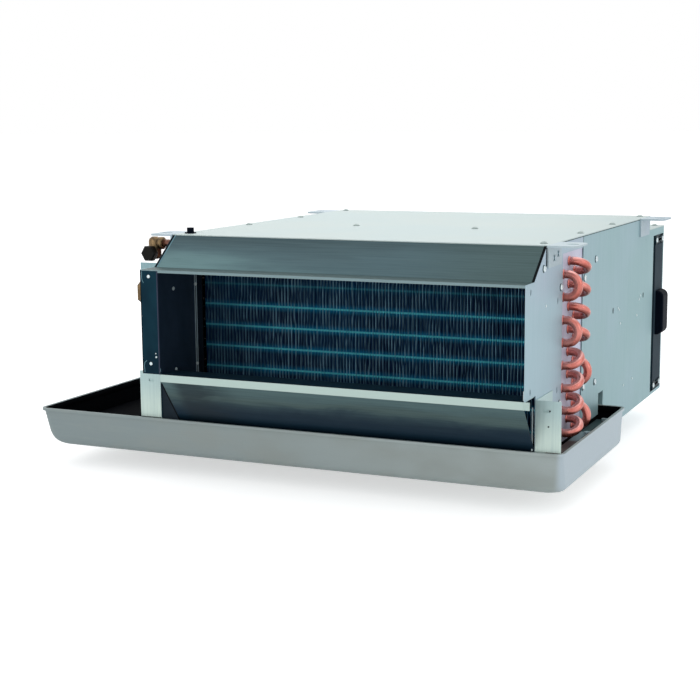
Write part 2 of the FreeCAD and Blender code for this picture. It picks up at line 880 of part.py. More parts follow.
def scroll_face(inset, x):
    """Spiral side view in three quarter arcs, each with a longer radius, ending in a straight outlet."""
    e = scroll_step / 2
    r1, r2, r3 = [scroll_radius + i * scroll_step - inset for i in range(3)]
    c1 = V(x, fan_y + e, fan_z - e)
    c2 = V(x, fan_y + e, fan_z + e)
    c3 = V(x, fan_y - e, fan_z + e)
    a = math.radians(tongue_angle)
    tongue = c1 + V(0, -r1 * math.cos(a), r1 * math.sin(a))
    mid1 = math.radians(45 - tongue_angle / 2)
    k = math.sqrt(0.5)
    front = fan_deck_y + sheet
    top = c3 + V(0, 0, r3)
    edges = [
        Part.Arc(tongue, c1 + V(0, -r1 * math.cos(mid1), -r1 * math.sin(mid1)), c1 + V(0, 0, -r1)).toShape(),
        Part.Arc(c1 + V(0, 0, -r1), c2 + V(0, r2 * k, -r2 * k), c2 + V(0, r2, 0)).toShape(),
        Part.Arc(c2 + V(0, r2, 0), c3 + V(0, r3 * k, r3 * k), top).toShape(),
        Part.makeLine(top, V(x, front, top.z)),
        Part.makeLine(V(x, front, top.z), V(x, front, tongue.z)),
        Part.makeLine(V(x, front, tongue.z), tongue),
    ]
    return Part.Face(Part.Wire(edges))


def make_scroll():
    """Right-hand volute: spiral wall, two cheeks with inlet rings, and a mouth at the bulkhead."""
    x0, x1 = fan_x - scroll_half, fan_x + scroll_half
    shell = scroll_face(0, x0).extrude(V(scroll_width, 0, 0))
    hollow = scroll_face(sheet, x0 + sheet).extrude(V(scroll_width - 2 * sheet, 0, 0))
    low, high = outlet_mouth()
    mouth = box(x0 + sheet, x1 - sheet, 0, fan_deck_y + scroll_mouth_depth, low + sheet, high)
    shell = shell.cut(hollow).cut(mouth).cut(drum(x0 - 1, x1 + 1, scroll_inlet_radius))
    rings = [drum_ring(x, x + scroll_inlet_depth, scroll_inlet_radius + sheet, scroll_inlet_radius)
             for x in (x0, x1 - scroll_inlet_depth)]
    flange = box(x0 - scroll_flange, x1 + scroll_flange, fan_deck_y + sheet, fan_deck_y + 2 * sheet,
                 low - scroll_flange, high + sheet + scroll_flange_top)
    flange = flange.cut(box(x0 + sheet, x1 - sheet, 0, fan_y, low + sheet, high))
    return fuse([shell, flange] + rings)


def blade(x0, x1, turn):
    """One forward-curved blade, a bent strip in two flats."""
    inside = wheel_radius - blade_depth
    steps = [(inside, 0.0), (inside + blade_depth * blade_knee, blade_knee_lead), (wheel_radius, 1.0)]
    outer, back = [], []
    for radius, share in steps:
        a = turn + math.radians(blade_lead) * share
        b = a + blade_thickness / radius
        outer.append((fan_y + radius * math.sin(a), fan_z + radius * math.cos(a)))
        back.append((fan_y + radius * math.sin(b), fan_z + radius * math.cos(b)))
    return plate_yz(outer + back[::-1], x0, x1)


def make_wheel():
    """Right-hand double-inlet wheel: hub and disc in the middle, blades, and a ring at each end."""
    x0, x1 = fan_x - wheel_width / 2, fan_x + wheel_width / 2
    corner = (wheel_radius + shaft_gap) / math.cos(math.pi / round_sides)
    bore = wheel_radius - blade_depth - wheel_ring_lap
    blades = [blade(x0 + wheel_ring, x1 - wheel_ring, -2 * math.pi * i / blade_count)
              for i in range(blade_count)]
    rings = [drum_ring(x, x + wheel_ring, corner, bore) for x in (x0, x1 - wheel_ring)]
    disc = drum(fan_x - wheel_disc / 2, fan_x + wheel_disc / 2, corner)
    hub = drum(fan_x - hub_length / 2, fan_x + hub_length / 2, hub_radius)
    wheel = fuse([disc, hub] + rings + blades)
    return wheel.cut(make_shaft_hole())


def make_shaft_hole():
    """Bore of the pieces that are fixed on the shaft."""
    return rod_x(-half, half, fan_y, fan_z, shaft_radius + seat_bore_gap)


def make_motor_shaft():
    return rod_x(-shaft_length / 2, shaft_length / 2, fan_y, fan_z, shaft_radius)


def make_rotor_core():
    return drum(-core_half, core_half, rotor_radius).cut(make_shaft_hole())


def make_stator():
    return drum_ring(-core_half, core_half, motor_radius - motor_wall, stator_bore)


def make_motor_shell():
    """Right half of the motor: a drawn cup with a hub that holds the bearing."""
    cup = drum(0, motor_half, motor_radius).cut(drum(0, motor_half - motor_wall, motor_radius - motor_wall))
    end = motor_half + motor_hub_length
    hub = drum(motor_half - motor_wall, end, motor_hub_radius)
    pocket = drum(end - bearing_length, end, bearing_radius)
    return fuse([cup, hub]).cut(pocket).cut(rod_x(0, end, fan_y, fan_z, shaft_radius + motor_hole_gap))


def make_bearing():
    """Bearing in the end of the motor's hub."""
    end = motor_half + motor_hub_length
    ring = drum(end - bearing_length, end, bearing_radius)
    return ring.cut(rod_x(0, end, fan_y, fan_z, shaft_radius + bearing_gap))


def make_rubber_ring():
    x = motor_half + seat_gap
    return drum_ring(x, x + ring_width, ring_radius, motor_hub_radius + shaft_gap)


def make_motor_bracket():
    """Folded bracket: a back plate on the bulkhead and two arms whose holes hold the rubber rings."""
    y0 = fan_deck_y + sheet
    arm_x = motor_half + seat_gap + (ring_width - mount_sheet) / 2
    z0, z1 = fan_z - mount_half_height, fan_z + mount_half_height
    back = box(-arm_x - mount_sheet, arm_x + mount_sheet, y0, y0 + mount_sheet, z0, z1)
    arms = [box(min(x, x + s * mount_sheet), max(x, x + s * mount_sheet), y0, mount_rear, z0, z1)
            for x, s in ((arm_x, 1), (-arm_x, -1))]
    bracket = fuse([back] + arms)
    return bracket.cut(drum(-half, half, ring_radius + shaft_gap))


# Filter and return end
def make_filter_frame():
    y0, y1 = filter_y - filter_depth / 2, filter_y + filter_depth / 2
    frame = box(filter_left, filter_right, y0, y1, filter_bottom, filter_top)
    window = box(filter_left + filter_border, filter_right - filter_border, y0 - 1, y1 + 1,
                 filter_bottom + filter_border, filter_top - filter_border)
    mid = (filter_bottom + filter_top) / 2
    rib = box(filter_left + filter_border, filter_right - filter_border, y1 - filter_rib_depth, y1,
              mid - filter_rib_height / 2, mid + filter_rib_height / 2)
    return fuse([frame.cut(window), rib])


def make_filter_media():
    """Pleated sheet held inside the frame."""
    x0, x1 = filter_left + filter_border, filter_right - filter_border
    y = filter_y - media_sheet
    step = (x1 - x0) / media_pleats
    near = [(x0 + i * step, y + (media_thickness / 2 if i % 2 else -media_thickness / 2))
            for i in range(media_pleats + 1)]
    far = [(x, yy + media_sheet) for x, yy in near]
    outline = near + far[::-1]
    return plate_xy(outline, filter_bottom + filter_border, filter_top - filter_border)


def make_filter_guide(z0, z1, lip0, lip1):
    """Channel along the casing that the frame slides in."""
    y0 = filter_y - filter_depth / 2 - seat_gap
    y1 = filter_y + filter_depth / 2 + seat_gap
    web = box(-inner, guide_right, y0 - guide_wall, y1 + guide_wall, z0, z1)
    lips = [box(-inner, guide_right, a, a + guide_wall, lip0, lip1) for a in (y0 - guide_wall, y1)]
    return fuse([web] + lips)


def make_lower_filter_guide():
    top = filter_bottom - seat_gap
    return make_filter_guide(casing_bottom + sheet, top, top, top + guide_lip)


def make_upper_filter_guide():
    low = filter_top + seat_gap
    return make_filter_guide(low, rear_top - sheet, low - guide_lip, low)


def make_filter_strip():
    """End cap of the filter that closes the slot in the side panel."""
    return box(filter_right, half, strip_front, strip_rear, slot_bottom + strip_gap + clip_height,
               slot_top - strip_gap - clip_height)


def make_filter_handle():
    """Rounded pull on the end cap, hollowed behind for the fingers."""
    y0 = filter_y - handle_width / 2
    z0 = handle_z - handle_height / 2
    grip = Part.makeBox(handle_depth, handle_width, handle_height, V(half, y0, z0))
    corners = [e for e in grip.Edges if abs(e.BoundBox.XMin - half - handle_depth) < 1e-6
               and e.BoundBox.XLength < 1e-6]
    grip = grip.makeFillet(handle_round, [e for e in corners if e.BoundBox.YLength > sheet])
    pocket = box(half - sheet, half + handle_depth - handle_wall,
                 filter_y + handle_grip, y0 + handle_width + sheet,
                 z0 + handle_end_wall, z0 + handle_height - handle_end_wall)
    return grip.cut(pocket)


def make_filter_clips():
    """Dark clips at both ends of the end cap, with two screws in each."""
    solids = []
    for z in (slot_bottom + strip_gap, slot_top - strip_gap - clip_height):
        solids.append(box(filter_right, half, strip_front, strip_rear, z, z + clip_height))
        places = [V(half, filter_y + s * clip_screw_y, z + clip_height / 2) for s in (-1, 1)]
        solids.append(screws(places, V(1, 0, 0)))
    return Part.makeCompound(solids)


# Hanging ears
def make_ear(side, y_mid):
    """Angle bracket with a slot across the unit; its web lies on the casing side."""
    y0, y1 = y_mid - ear_length / 2, y_mid + ear_length / 2
    plate = box(half, half + ear_reach, y0, y1, casing_top - ear_sheet, casing_top)
    tips = [e for e in plate.Edges if abs(e.BoundBox.XMin - half - ear_reach) < 1e-6
            and e.BoundBox.ZLength > sheet]
    plate = plate.makeFillet(ear_corner, tips)
    web = box(half, half + ear_sheet, y0, y1, casing_top - ear_drop, casing_top - ear_sheet)
    r = slot_width / 2
    reach = slot_length / 2 - r
    low, high = casing_top - 2 * ear_sheet, casing_top + ear_sheet
    slot = box(slot_x - reach, slot_x + reach, y_mid - r, y_mid + r, low, high)
    ends = [rod(V(slot_x + s * reach, y_mid, low), V(slot_x + s * reach, y_mid, high), r) for s in (-1, 1)]
    ear = fuse([plate, web]).cut(fuse([slot] + ends))
    return ear if side > 0 else mirror_x(ear)


def make_hanging_ears():
    return Part.makeCompound([make_ear(s, y) for s in (-1, 1) for y in (front_ear_y, rear_ear_y)])


# Terminal box
def make_terminal_box():
    x1 = -half
    x0 = x1 - box_depth
    y1, z1 = box_front + box_length, box_bottom + box_height
    shell = box(x0, x1, box_front, y1, box_bottom, z1)
    hollow = box(x0 - box_wall, x1 - box_wall, box_front + box_wall, y1 - box_wall,
                 box_bottom + box_wall, z1 - box_wall)
    hole = prism(V(*gland_place(), box_bottom), V(*gland_place(), box_bottom + box_wall), gland_throat,
                 round_sides)
    return shell.cut(hollow).cut(hole)


def gland_place():
    return -half - box_depth / 2, box_front + box_length / 2


def make_terminal_lid():
    """Lid with a short lip that closes over the box."""
    x = -half - box_depth
    y1, z1 = box_front + box_length, box_bottom + box_height
    w = box_wall + seat_gap
    outer = box(x - box_wall, x + lid_lip, box_front - w, y1 + w, box_bottom - w, z1 + w)
    hollow = box(x, x + box_depth, box_front - seat_gap, y1 + seat_gap, box_bottom - seat_gap, z1 + seat_gap)
    return outer.cut(hollow)


def make_cable_gland():
    x, y = gland_place()
    inside = box_bottom + box_wall
    neck = prism(V(x, y, box_bottom - gland_length), V(x, y, box_bottom), gland_radius, round_sides)
    nut = hexagon(V(x, y, inside), V(0, 0, 1), gland_nut_width, gland_nut_height)
    throat = prism(V(x, y, box_bottom), V(x, y, inside), gland_throat - gland_throat_gap, round_sides)
    bore = rod(V(x, y, 0), V(x, y, casing_top), gland_bore)
    return fuse([neck, nut, throat]).cut(bore)


def make_terminal_block():
    """Moulded block with a slot across it between each pair of ways."""
    x1 = -half - box_wall
    x0 = x1 - block_depth
    y0, y1 = box_front + block_end_gap, box_front + box_length - block_end_gap
    z0 = box_bottom + block_rise
    block = box(x0, x1, y0, y1, z0, z0 + block_height)
    step = (y1 - y0) / block_ways
    for i in range(1, block_ways):
        y = y0 + i * step
        block = block.cut(box(x0, x0 + block_slot_depth, y - block_slot / 2, y + block_slot / 2,
                              z0, z0 + block_height))
    return block


# Small parts
def make_top_screws():
    """Screws of the top panel; the plug takes the place of the left front one."""
    places = [V(s * edge_screw_x, y, casing_top) for s in (-1, 1)
              for y in top_screw_y + (top_panel_rear - top_screw_inset,)]
    places = [place for place in places if place != V(-edge_screw_x, plug_y, casing_top)]
    places += [V(s * middle_screw_x, middle_screw_y, casing_top) for s in (-1, 1)]
    places += [V(s * edge_screw_x, casing_depth - rear_screw_inset, rear_top) for s in (-1, 1)]
    return screws(places, V(0, 0, 1))


def make_bottom_screws():
    places = [V(s * edge_screw_x, casing_depth - rear_screw_inset, casing_bottom) for s in (-1, 1)]
    return screws(places, V(0, 0, -1))


def make_side_screws(side):
    return screws([V(side * half, y, z) for y, z in side_screw_places], V(side, 0, 0))


def make_flange_rivets():
    x = -half + front_flange / 2
    return Part.makeCompound([prism(V(x, 0, z), V(x, -rivet_height, z), rivet_radius, tube_sides)
                              for z in rivet_z])


def make_top_plug():
    base = casing_top + washer_height
    return prism(V(-edge_screw_x, plug_y, base), V(-edge_screw_x, plug_y, base + plug_height), plug_radius,
                 round_sides // 2)


def make_plug_washer():
    return prism(V(-edge_screw_x, plug_y, casing_top), V(-edge_screw_x, plug_y, casing_top + washer_height),
                 washer_radius, round_sides // 2)


def make_top_insulation():
    """Foam under the top panel, between the side folds."""
    edge = inner - panel_flange - insulation_side_gap
    return box(-edge, edge, fan_deck_y + 3 * sheet, top_panel_rear - 2 * sheet,
               insulation_bottom, casing_top - sheet)


def make_coil_top_baffle():
    """Angle on top of the fins that stops air slipping over the coil."""
    edge = inner - tube_sheet_flange - seat_gap
    shelf = box(-edge, edge, fin_front, fin_rear, fin_top, fin_top + sheet)
    lip = box(-edge, edge, fin_rear - sheet, fin_rear, fin_top + sheet, casing_top - sheet)
    return fuse([shelf, lip])


def build():
    """Every piece by its name."""
    return {
        "top_panel": make_top_panel(),
        "outlet_hood": make_outlet_hood(),
        "right_front_plate": make_right_front_plate(),
        "left_front_plate": make_left_front_plate(),
        "right_side_panel": make_right_side_panel(),
        "left_side_panel": make_left_side_panel(),
        "bottom_panel": make_bottom_panel(),
        "rear_top_cover": make_rear_top_cover(),
        "return_frame": make_return_frame(),
        "front_drip_sheet": make_front_drip_sheet(),
        "fan_deck": make_fan_deck(),
        "top_insulation": make_top_insulation(),
        "right_tube_sheet": make_tube_sheet(),
        "left_tube_sheet": mirror_x(make_tube_sheet()),
        "fin_pack": make_fin_pack(),
        "coil_hairpins": make_hairpins(),
        "left_return_bends": make_return_bends(),
        "coil_top_baffle": make_coil_top_baffle(),
        "front_header": make_front_header(),
        "rear_header": make_rear_header(),
        "return_union": make_union(first_row_y, return_union_z),
        "supply_union": make_union(row_y[-1], supply_union_z),
        "vent_pipe": make_vent_pipe(),
        "vent_elbow": make_vent_elbow(),
        "vent_cap": make_vent_cap(),
        "connection_bracket": make_connection_bracket(),
        "drain_pan": make_drain_pan(),
        "pan_lining": make_pan_lining(),
        "drain_spigot": make_drain_spigot(),
        "drain_gasket": make_drain_gasket(),
        "drain_nut": make_drain_nut(),
        "right_pan_bracket": make_pan_bracket(1),
        "left_pan_bracket": make_pan_bracket(-1),
        "pan_bolts": make_pan_bolts(),
        "rear_pan_clips": make_rear_pan_clips(),
        "right_scroll": make_scroll(),
        "left_scroll": mirror_x(make_scroll()),
        "right_impeller": make_wheel(),
        "left_impeller": mirror_x(make_wheel()),
        "motor_shaft": make_motor_shaft(),
        "motor_rotor": make_rotor_core(),
        "motor_stator": make_stator(),
        "motor_right_shell": make_motor_shell(),
        "motor_left_shell": mirror_x(make_motor_shell()),
        "motor_bearings": Part.makeCompound([make_bearing(), mirror_x(make_bearing())]),
        "motor_rubber_rings": Part.makeCompound([make_rubber_ring(), mirror_x(make_rubber_ring())]),
        "motor_bracket": make_motor_bracket(),
        "filter_frame": make_filter_frame(),
        "filter_media": make_filter_media(),
        "filter_end_strip": make_filter_strip(),
        "filter_handle": make_filter_handle(),
        "filter_guides": Part.makeCompound([make_lower_filter_guide(), make_upper_filter_guide()]),
        "filter_clips": make_filter_clips(),
        "hanging_ears": make_hanging_ears(),
        "terminal_box": make_terminal_box(),
        "terminal_lid": make_terminal_lid(),
        "terminal_block": make_terminal_block(),
        "cable_gland": make_cable_gland(),
        "casing_screws": Part.makeCompound(
            [make_top_screws(), make_bottom_screws(), make_side_screws(1), make_side_screws(-1),
             make_flange_rivets()]),
        "top_plug": Part.makeCompound([make_top_plug(), make_plug_washer()]),
    }


os.makedirs("parts", exist_ok=True)
for name, shape in build().items():
    shape.translate(origin * -1)
    shape.exportStep("parts/" + name + ".step")
    print(name, len(shape.Solids), shape.isValid(), round(shape.Volume, 1))
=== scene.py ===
import math
import random

import bmesh
import bpy
from mathutils import Matrix, Vector, noise
from mathutils.geometry import tessellate_polygon


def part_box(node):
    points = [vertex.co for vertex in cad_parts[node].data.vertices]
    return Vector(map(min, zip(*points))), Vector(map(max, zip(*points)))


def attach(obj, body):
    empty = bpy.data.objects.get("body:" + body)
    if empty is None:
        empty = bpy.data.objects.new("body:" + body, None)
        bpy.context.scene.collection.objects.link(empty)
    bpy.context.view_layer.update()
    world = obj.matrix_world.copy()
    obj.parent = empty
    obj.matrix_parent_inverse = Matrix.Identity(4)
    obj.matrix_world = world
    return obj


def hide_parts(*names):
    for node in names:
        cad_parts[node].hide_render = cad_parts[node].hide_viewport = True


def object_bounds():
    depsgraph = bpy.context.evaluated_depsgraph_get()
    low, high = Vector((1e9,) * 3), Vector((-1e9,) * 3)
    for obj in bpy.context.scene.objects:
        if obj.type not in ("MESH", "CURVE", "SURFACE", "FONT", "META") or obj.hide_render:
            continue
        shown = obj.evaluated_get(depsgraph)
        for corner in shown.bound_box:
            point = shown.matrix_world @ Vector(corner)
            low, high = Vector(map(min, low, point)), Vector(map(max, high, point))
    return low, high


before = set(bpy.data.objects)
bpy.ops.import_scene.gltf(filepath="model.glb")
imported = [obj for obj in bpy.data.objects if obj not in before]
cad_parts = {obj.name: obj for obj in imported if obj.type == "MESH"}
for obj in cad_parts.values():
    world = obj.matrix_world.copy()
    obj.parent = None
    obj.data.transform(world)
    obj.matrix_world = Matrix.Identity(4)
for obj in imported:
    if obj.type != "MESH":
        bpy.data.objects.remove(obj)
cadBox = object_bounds()

# Looks of the ducted fan coil unit. Bench sizes are in millimetres: X to the right, Y back from the outlet,
# Z up from the underside of the drain pan. bench() turns them into the frame's metres.
mm = 0.001
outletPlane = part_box("outlet_hood")[0].y
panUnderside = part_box("drain_pan")[0].z
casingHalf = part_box("top_panel")[1].x / mm
casingTop = (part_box("top_panel")[1].z - panUnderside) / mm
sheetGauge = 1.0
innerHalf = casingHalf - sheetGauge


def bench(x, y, z):
    return Vector((x * mm, outletPlane + y * mm, panUnderside + z * mm))


def levels(*heights):  # bench heights as heights in the frame
    return [panUnderside + z * mm for z in heights]


# Colours and materials
def paint(red, green, blue):  # a screen colour, 0 to 255, as the shaders' linear values
    def straight(value):
        c = value / 255
        return c / 12.92 if c <= 0.04045 else ((c + 0.055) / 1.055) ** 2.4
    return (straight(red), straight(green), straight(blue), 1.0)


def tones(**colours):
    return {name: paint(*colour) for name, colour in colours.items()}


class Nodes:  # short ways to build the node tree of a material or of the world
    def __init__(self, owner, output):
        owner.use_nodes = True
        self.tree = owner.node_tree
        self.tree.nodes.clear()
        self.output = self.add(output)

    def add(self, kind, feeds=None, **settings):  # feeds gives each input a value or another node's output
        made = self.tree.nodes.new(kind)
        for key, value in settings.items():
            setattr(made, key, value)
        for place, value in (feeds or {}).items():
            if isinstance(value, bpy.types.NodeSocket):
                self.tree.links.new(value, made.inputs[place])
            else:
                made.inputs[place].default_value = value
        return made

    def end(self, last):
        self.tree.links.new(last.outputs[0], self.output.inputs[0])

    def sums(self, operation, first, second=0.0):
        return self.add("ShaderNodeMath", {0: first, 1: second}, operation=operation).outputs[0]

    def times(self, first, second):
        return self.sums("MULTIPLY", first, second)

    def seenByEye(self):  # 1 for rays that show a surface: seen by the camera, in a mirror or through glass
        path = self.add("ShaderNodeLightPath")
        total = path.outputs["Is Camera Ray"]
        for name in ("Is Glossy Ray", "Is Transmission Ray"):
            total = self.sums("MAXIMUM", total, path.outputs[name])
        return total


class Finish(Nodes):  # one material, built up as washes of colour over a ground colour
    def __init__(self, name, ground):
        self.material = bpy.data.materials.new(name)
        super().__init__(self.material, "ShaderNodeOutputMaterial")
        self.coords = self.add("ShaderNodeTexCoord").outputs["Object"]
        self.colour = ground

    def grain(self, stretch, scale, detail, rough, twist=0.0):  # noise on stretched coordinates
        mapped = self.add("ShaderNodeMapping", {"Vector": self.coords, "Scale": stretch})
        feeds = {"Vector": mapped.outputs[0], "Scale": scale, "Detail": detail, "Roughness": rough,
                 "Distortion": twist}
        return self.add("ShaderNodeTexNoise", feeds).outputs["Fac"]

    def spread(self, value, fromLow, fromHigh, toLow=0, toHigh=1, smooth=False):
        feeds = {"Value": value, "From Min": fromLow, "From Max": fromHigh, "To Min": toLow,
                 "To Max": toHigh}
        curve = "SMOOTHSTEP" if smooth else "LINEAR"
        return self.add("ShaderNodeMapRange", feeds, interpolation_type=curve).outputs[0]

    def blend(self, amount, first, second):
        return self.add("ShaderNodeMix", {0: amount, 6: first, 7: second}, data_type="RGBA").outputs[2]

    def place(self, letter):  # X, Y or Z of the place
        return self.add("ShaderNodeSeparateXYZ", {0: self.coords}).outputs[letter]

    def facing(self, letter):  # X, Y or Z of the direction that a face looks in
        normal = self.add("ShaderNodeNewGeometry").outputs["Normal"]
        return self.add("ShaderNodeSeparateXYZ", {0: normal}).outputs[letter]

    def cover(self, tone, amount):
        self.colour = self.blend(amount, self.colour, tone)

    def wash(self, tone, value, *ranges, **settings):  # cover by a value spread from one range to another
        self.cover(tone, self.spread(value, *ranges, **settings))

    def close(self, metal, rough, gloss, relief, strength, depth=0.0003):  # ends with the surface itself
        bump = self.add("ShaderNodeBump", {"Strength": strength, "Distance": depth, "Height": relief})
        feeds = {"Base Color": self.colour, "Metallic": metal, "Roughness": rough,
                 "Specular IOR Level": gloss, "Normal": bump.outputs[0]}
        self.end(self.add("ShaderNodeBsdfPrincipled", feeds))
        return self.material


even = (1, 1, 1)  # stretch of a noise that is the same in every direction
bareMetalGloss = 0.5
steelLook = {
    "main": (150, 182, 187), "second": (156, 184, 193), "roll": (142, 174, 177), "speck": (196, 212, 214),
    "cloudScale": 5.0, "rollWay": (60, 60, 3), "rollScale": 6.0, "rollShare": 0.35, "speckShare": 0.12,
    "metal": 0.3, "rough": (0.45, 0.6), "bump": 0.12,
}


def steel(name, **changes):  # rolled zinc-coated sheet with a soft cloud, rolling lines and a fine grain
    look = {**steelLook, **changes}
    f = Finish(name, paint(*look["main"]))
    cloud = f.grain(even, look["cloudScale"], 2.0, 0.5)
    roll = f.grain(look["rollWay"], look["rollScale"], 5.0, 0.65)
    speck = f.grain(even, 1400, 2.0, 0.5)
    f.wash(paint(*look["second"]), cloud, 0.35, 0.65, smooth=True)
    f.wash(paint(*look["roll"]), roll, 0.3, 0.75, 0, look["rollShare"])
    f.wash(paint(*look["speck"]), speck, 0.55, 0.8, 0, look["speckShare"])
    return f.close(look["metal"], f.spread(roll, 0.2, 0.8, *look["rough"]), 0.2,
                   f.sums("ADD", roll, f.times(speck, 0.35)), look["bump"], 0.0004)


def hoodFinish():  # brushed sheet in painted shade, darker than the other sheets: a darker painted band of shade near its top, a painted patch of light low on the left, painted olive shade at the right end, painted shade on its ledge and a painted highlight on its pale hem
    look = tones(slope=(80, 104, 111), high=(66, 86, 92), low=(110, 142, 145), rightEnd=(72, 92, 91),
                 brush=(112, 136, 139), line=(50, 64, 68), ledge=(60, 84, 86), hem=(126, 148, 152))
    highBand, lowBand = levels(240, 258), levels(228, 246)
    leftReach, rightReach = (-0.19, 0.04), (0.05, 0.22)
    f = Finish("hoodSheet", look["slope"])
    cloud = f.grain((2, 9, 9), 2.2, 3.0, 0.55, 0.4)
    brush = f.grain((2.5, 160, 160), 4.0, 6.0, 0.7)
    fine = f.grain((20, 900, 900), 1.0, 2.0, 0.6)
    wave = f.spread(cloud, 0.3, 0.7, -0.007, 0.007)
    height = f.sums("ADD", f.place("Z"), wave)
    # painted shade near the top and a painted patch of light low on the left
    f.wash(look["high"], height, *highBand, smooth=True)
    left = f.spread(f.sums("ADD", f.place("X"), f.times(wave, 12.0)), *leftReach, 1, 0, True)
    f.cover(look["low"], f.times(left, f.spread(height, *lowBand, 1, 0, True)))
    # painted olive shade at the right end
    f.wash(look["rightEnd"], f.place("X"), *rightReach, 0, 0.85, True)
    f.wash(look["brush"], brush, 0.4, 0.75, 0, 0.35)
    f.wash(look["line"], fine, 0.5, 0.8, 0, 0.25)
    # painted shade on the up-facing ledge, a painted highlight on the front-facing hem
    f.wash(look["ledge"], f.facing("Z"), 0.93, 0.97)
    f.wash(look["hem"], f.facing("Y"), -0.9, -0.96)
    return f.close(0.45, f.spread(brush, 0.3, 0.7, 0.4, 0.56), 0.1, f.sums("ADD", brush, fine), 0.18)


def dripFinish():  # sheet under the outlet: grey-green in painted light near its lip and dark in painted shade further down, crossed by a painted reflection band and darker in patches at the left
    look = tones(low=(20, 42, 57), high=(86, 110, 112), streak=(88, 108, 104), smudge=(26, 38, 46),
                 line=(18, 26, 36), lip=(184, 204, 198), ledge=(26, 46, 60))
    highBand, lipEdge = levels(60, 97), levels(96.6, 97.2)
    streakRise, streakFall = levels(72, 80), levels(80, 90)
    smudgeLeft, smudgeRight = (-0.2, -0.18), (-0.16, -0.1)
    f = Finish("dripSheet", look["low"])
    height, across = f.place("Z"), f.place("X")
    blotch = f.grain((4, 14, 14), 2.4, 3.0, 0.5, 0.6)
    brush = f.grain((3, 120, 120), 4.0, 5.0, 0.7)
    drift = f.sums("ADD", height, f.spread(blotch, 0.3, 0.7, -0.006, 0.006))
    # painted light near the lip fading to painted shade below, then a painted reflection band
    f.wash(look["high"], drift, *highBand, smooth=True)
    streak = f.times(f.spread(drift, *streakRise, 0, 1, True), f.spread(drift, *streakFall, 1, 0, True))
    f.cover(look["streak"], f.times(streak, 0.5))
    smudge = f.times(f.spread(across, *smudgeRight, 1, 0, True), f.spread(across, *smudgeLeft, 0, 1, True))
    f.cover(look["smudge"], f.times(smudge, f.spread(blotch, 0.4, 0.6, 0, 0.75, True)))
    f.wash(look["line"], brush, 0.4, 0.7, 0, 0.25)
    # painted highlight on the lip edge and painted shade on the up-facing ledge
    f.wash(look["lip"], height, *lipEdge)
    f.wash(look["ledge"], f.facing("Z"), 0.8, 0.95)
    return f.close(0.35, f.spread(brush, 0.3, 0.7, 0.36, 0.5), 0.08, brush, 0.1)


def leftPlateFinish():  # connection-side plate: outside bright, its fold dark teal in painted shade, its inner face nearly black in painted shade
    look = tones(out=(160, 188, 192), outRoll=(176, 200, 202), inner=(44, 60, 78), innerCloud=(54, 70, 90),
                 fold=(7, 32, 46), foldCloud=(18, 54, 68))
    f = Finish("leftPlateSheet", look["out"])
    roll = f.grain((60, 60, 3), 6.0, 5.0, 0.65)
    cloud = f.grain((1, 1, 0.5), 26.0, 3.0, 0.5)
    f.wash(look["outRoll"], roll, 0.3, 0.75, 0, 0.3)
    inner = f.blend(f.spread(cloud, 0.4, 0.7), look["inner"], look["innerCloud"])
    f.wash(inner, f.facing("X"), 0.4, 0.6)
    fold = f.blend(f.spread(cloud, 0.35, 0.65), look["fold"], look["foldCloud"])
    f.wash(fold, f.facing("Y"), -0.4, -0.6)
    return f.close(0.2, 0.5, 0.06, roll, 0.1)


def leftTubeSheetFinish():  # coil end on the connection side: flange and inner face dark in painted shade, two painted highlight lines along the flange near the wall, the outside plain
    look = tones(front=(18, 28, 38), frontCloud=(26, 38, 50), line=(200, 224, 232), inner=(26, 24, 26),
                 out=(150, 160, 168))
    linesFromWall, lineHalf = (0.8, 3.0), (0.0003, 0.0009)
    f = Finish("leftTubeSheet", look["front"])
    cloud = f.grain((1, 1, 0.4), 40.0, 3.0, 0.55)
    f.wash(look["frontCloud"], cloud, 0.35, 0.65)
    across = f.place("X")
    for inset in linesFromWall:
        reach = f.sums("ABSOLUTE", f.sums("SUBTRACT", across, (inset - innerHalf) * mm))
        f.wash(look["line"], reach, *lineHalf, 0.85, 0, True)
    f.wash(look["out"], f.facing("Y"), -0.4, -0.6, 1, 0)
    f.wash(look["inner"], f.facing("X"), 0.4, 0.6)
    return f.close(0.25, 0.5, 0.06, cloud, 0.1)


def bracketFinish():  # pan brackets: light wings, and a rail that goes from brown at the front to painted shade further back, the left bracket's rail all in painted shade
    look = tones(high=(186, 210, 210), low=(208, 226, 218), streak=(166, 192, 191), railDark=(52, 74, 76),
                 railLight=(138, 160, 164), railBrown=(104, 90, 86), leftRail=(16, 19, 24))
    brownEnd, darkStart = [[bench(0, y, 0).y for y in pair] for pair in ((160, 172), (216, 218))]
    f = Finish("bracketSheet", look["low"])
    roll = f.grain((190, 190, 4), 3.0, 5.0, 0.65)
    height, depth = f.place("Z"), f.place("Y")
    f.wash(look["high"], height, *levels(55, 98), smooth=True)
    f.wash(look["streak"], roll, 0.42, 0.75, 0, 0.55)
    rail = f.blend(f.spread(depth, *darkStart), look["railLight"], look["railDark"])
    rail = f.blend(f.spread(depth, *brownEnd, 1, 0, True), rail, look["railBrown"])
    rail = f.blend(f.spread(f.place("X"), 0.01, -0.01), rail, look["leftRail"])
    f.wash(rail, height, *levels(38, 36))
    return f.close(0.25, f.spread(roll, 0.2, 0.8, 0.42, 0.58), 0.2, roll, 0.14)


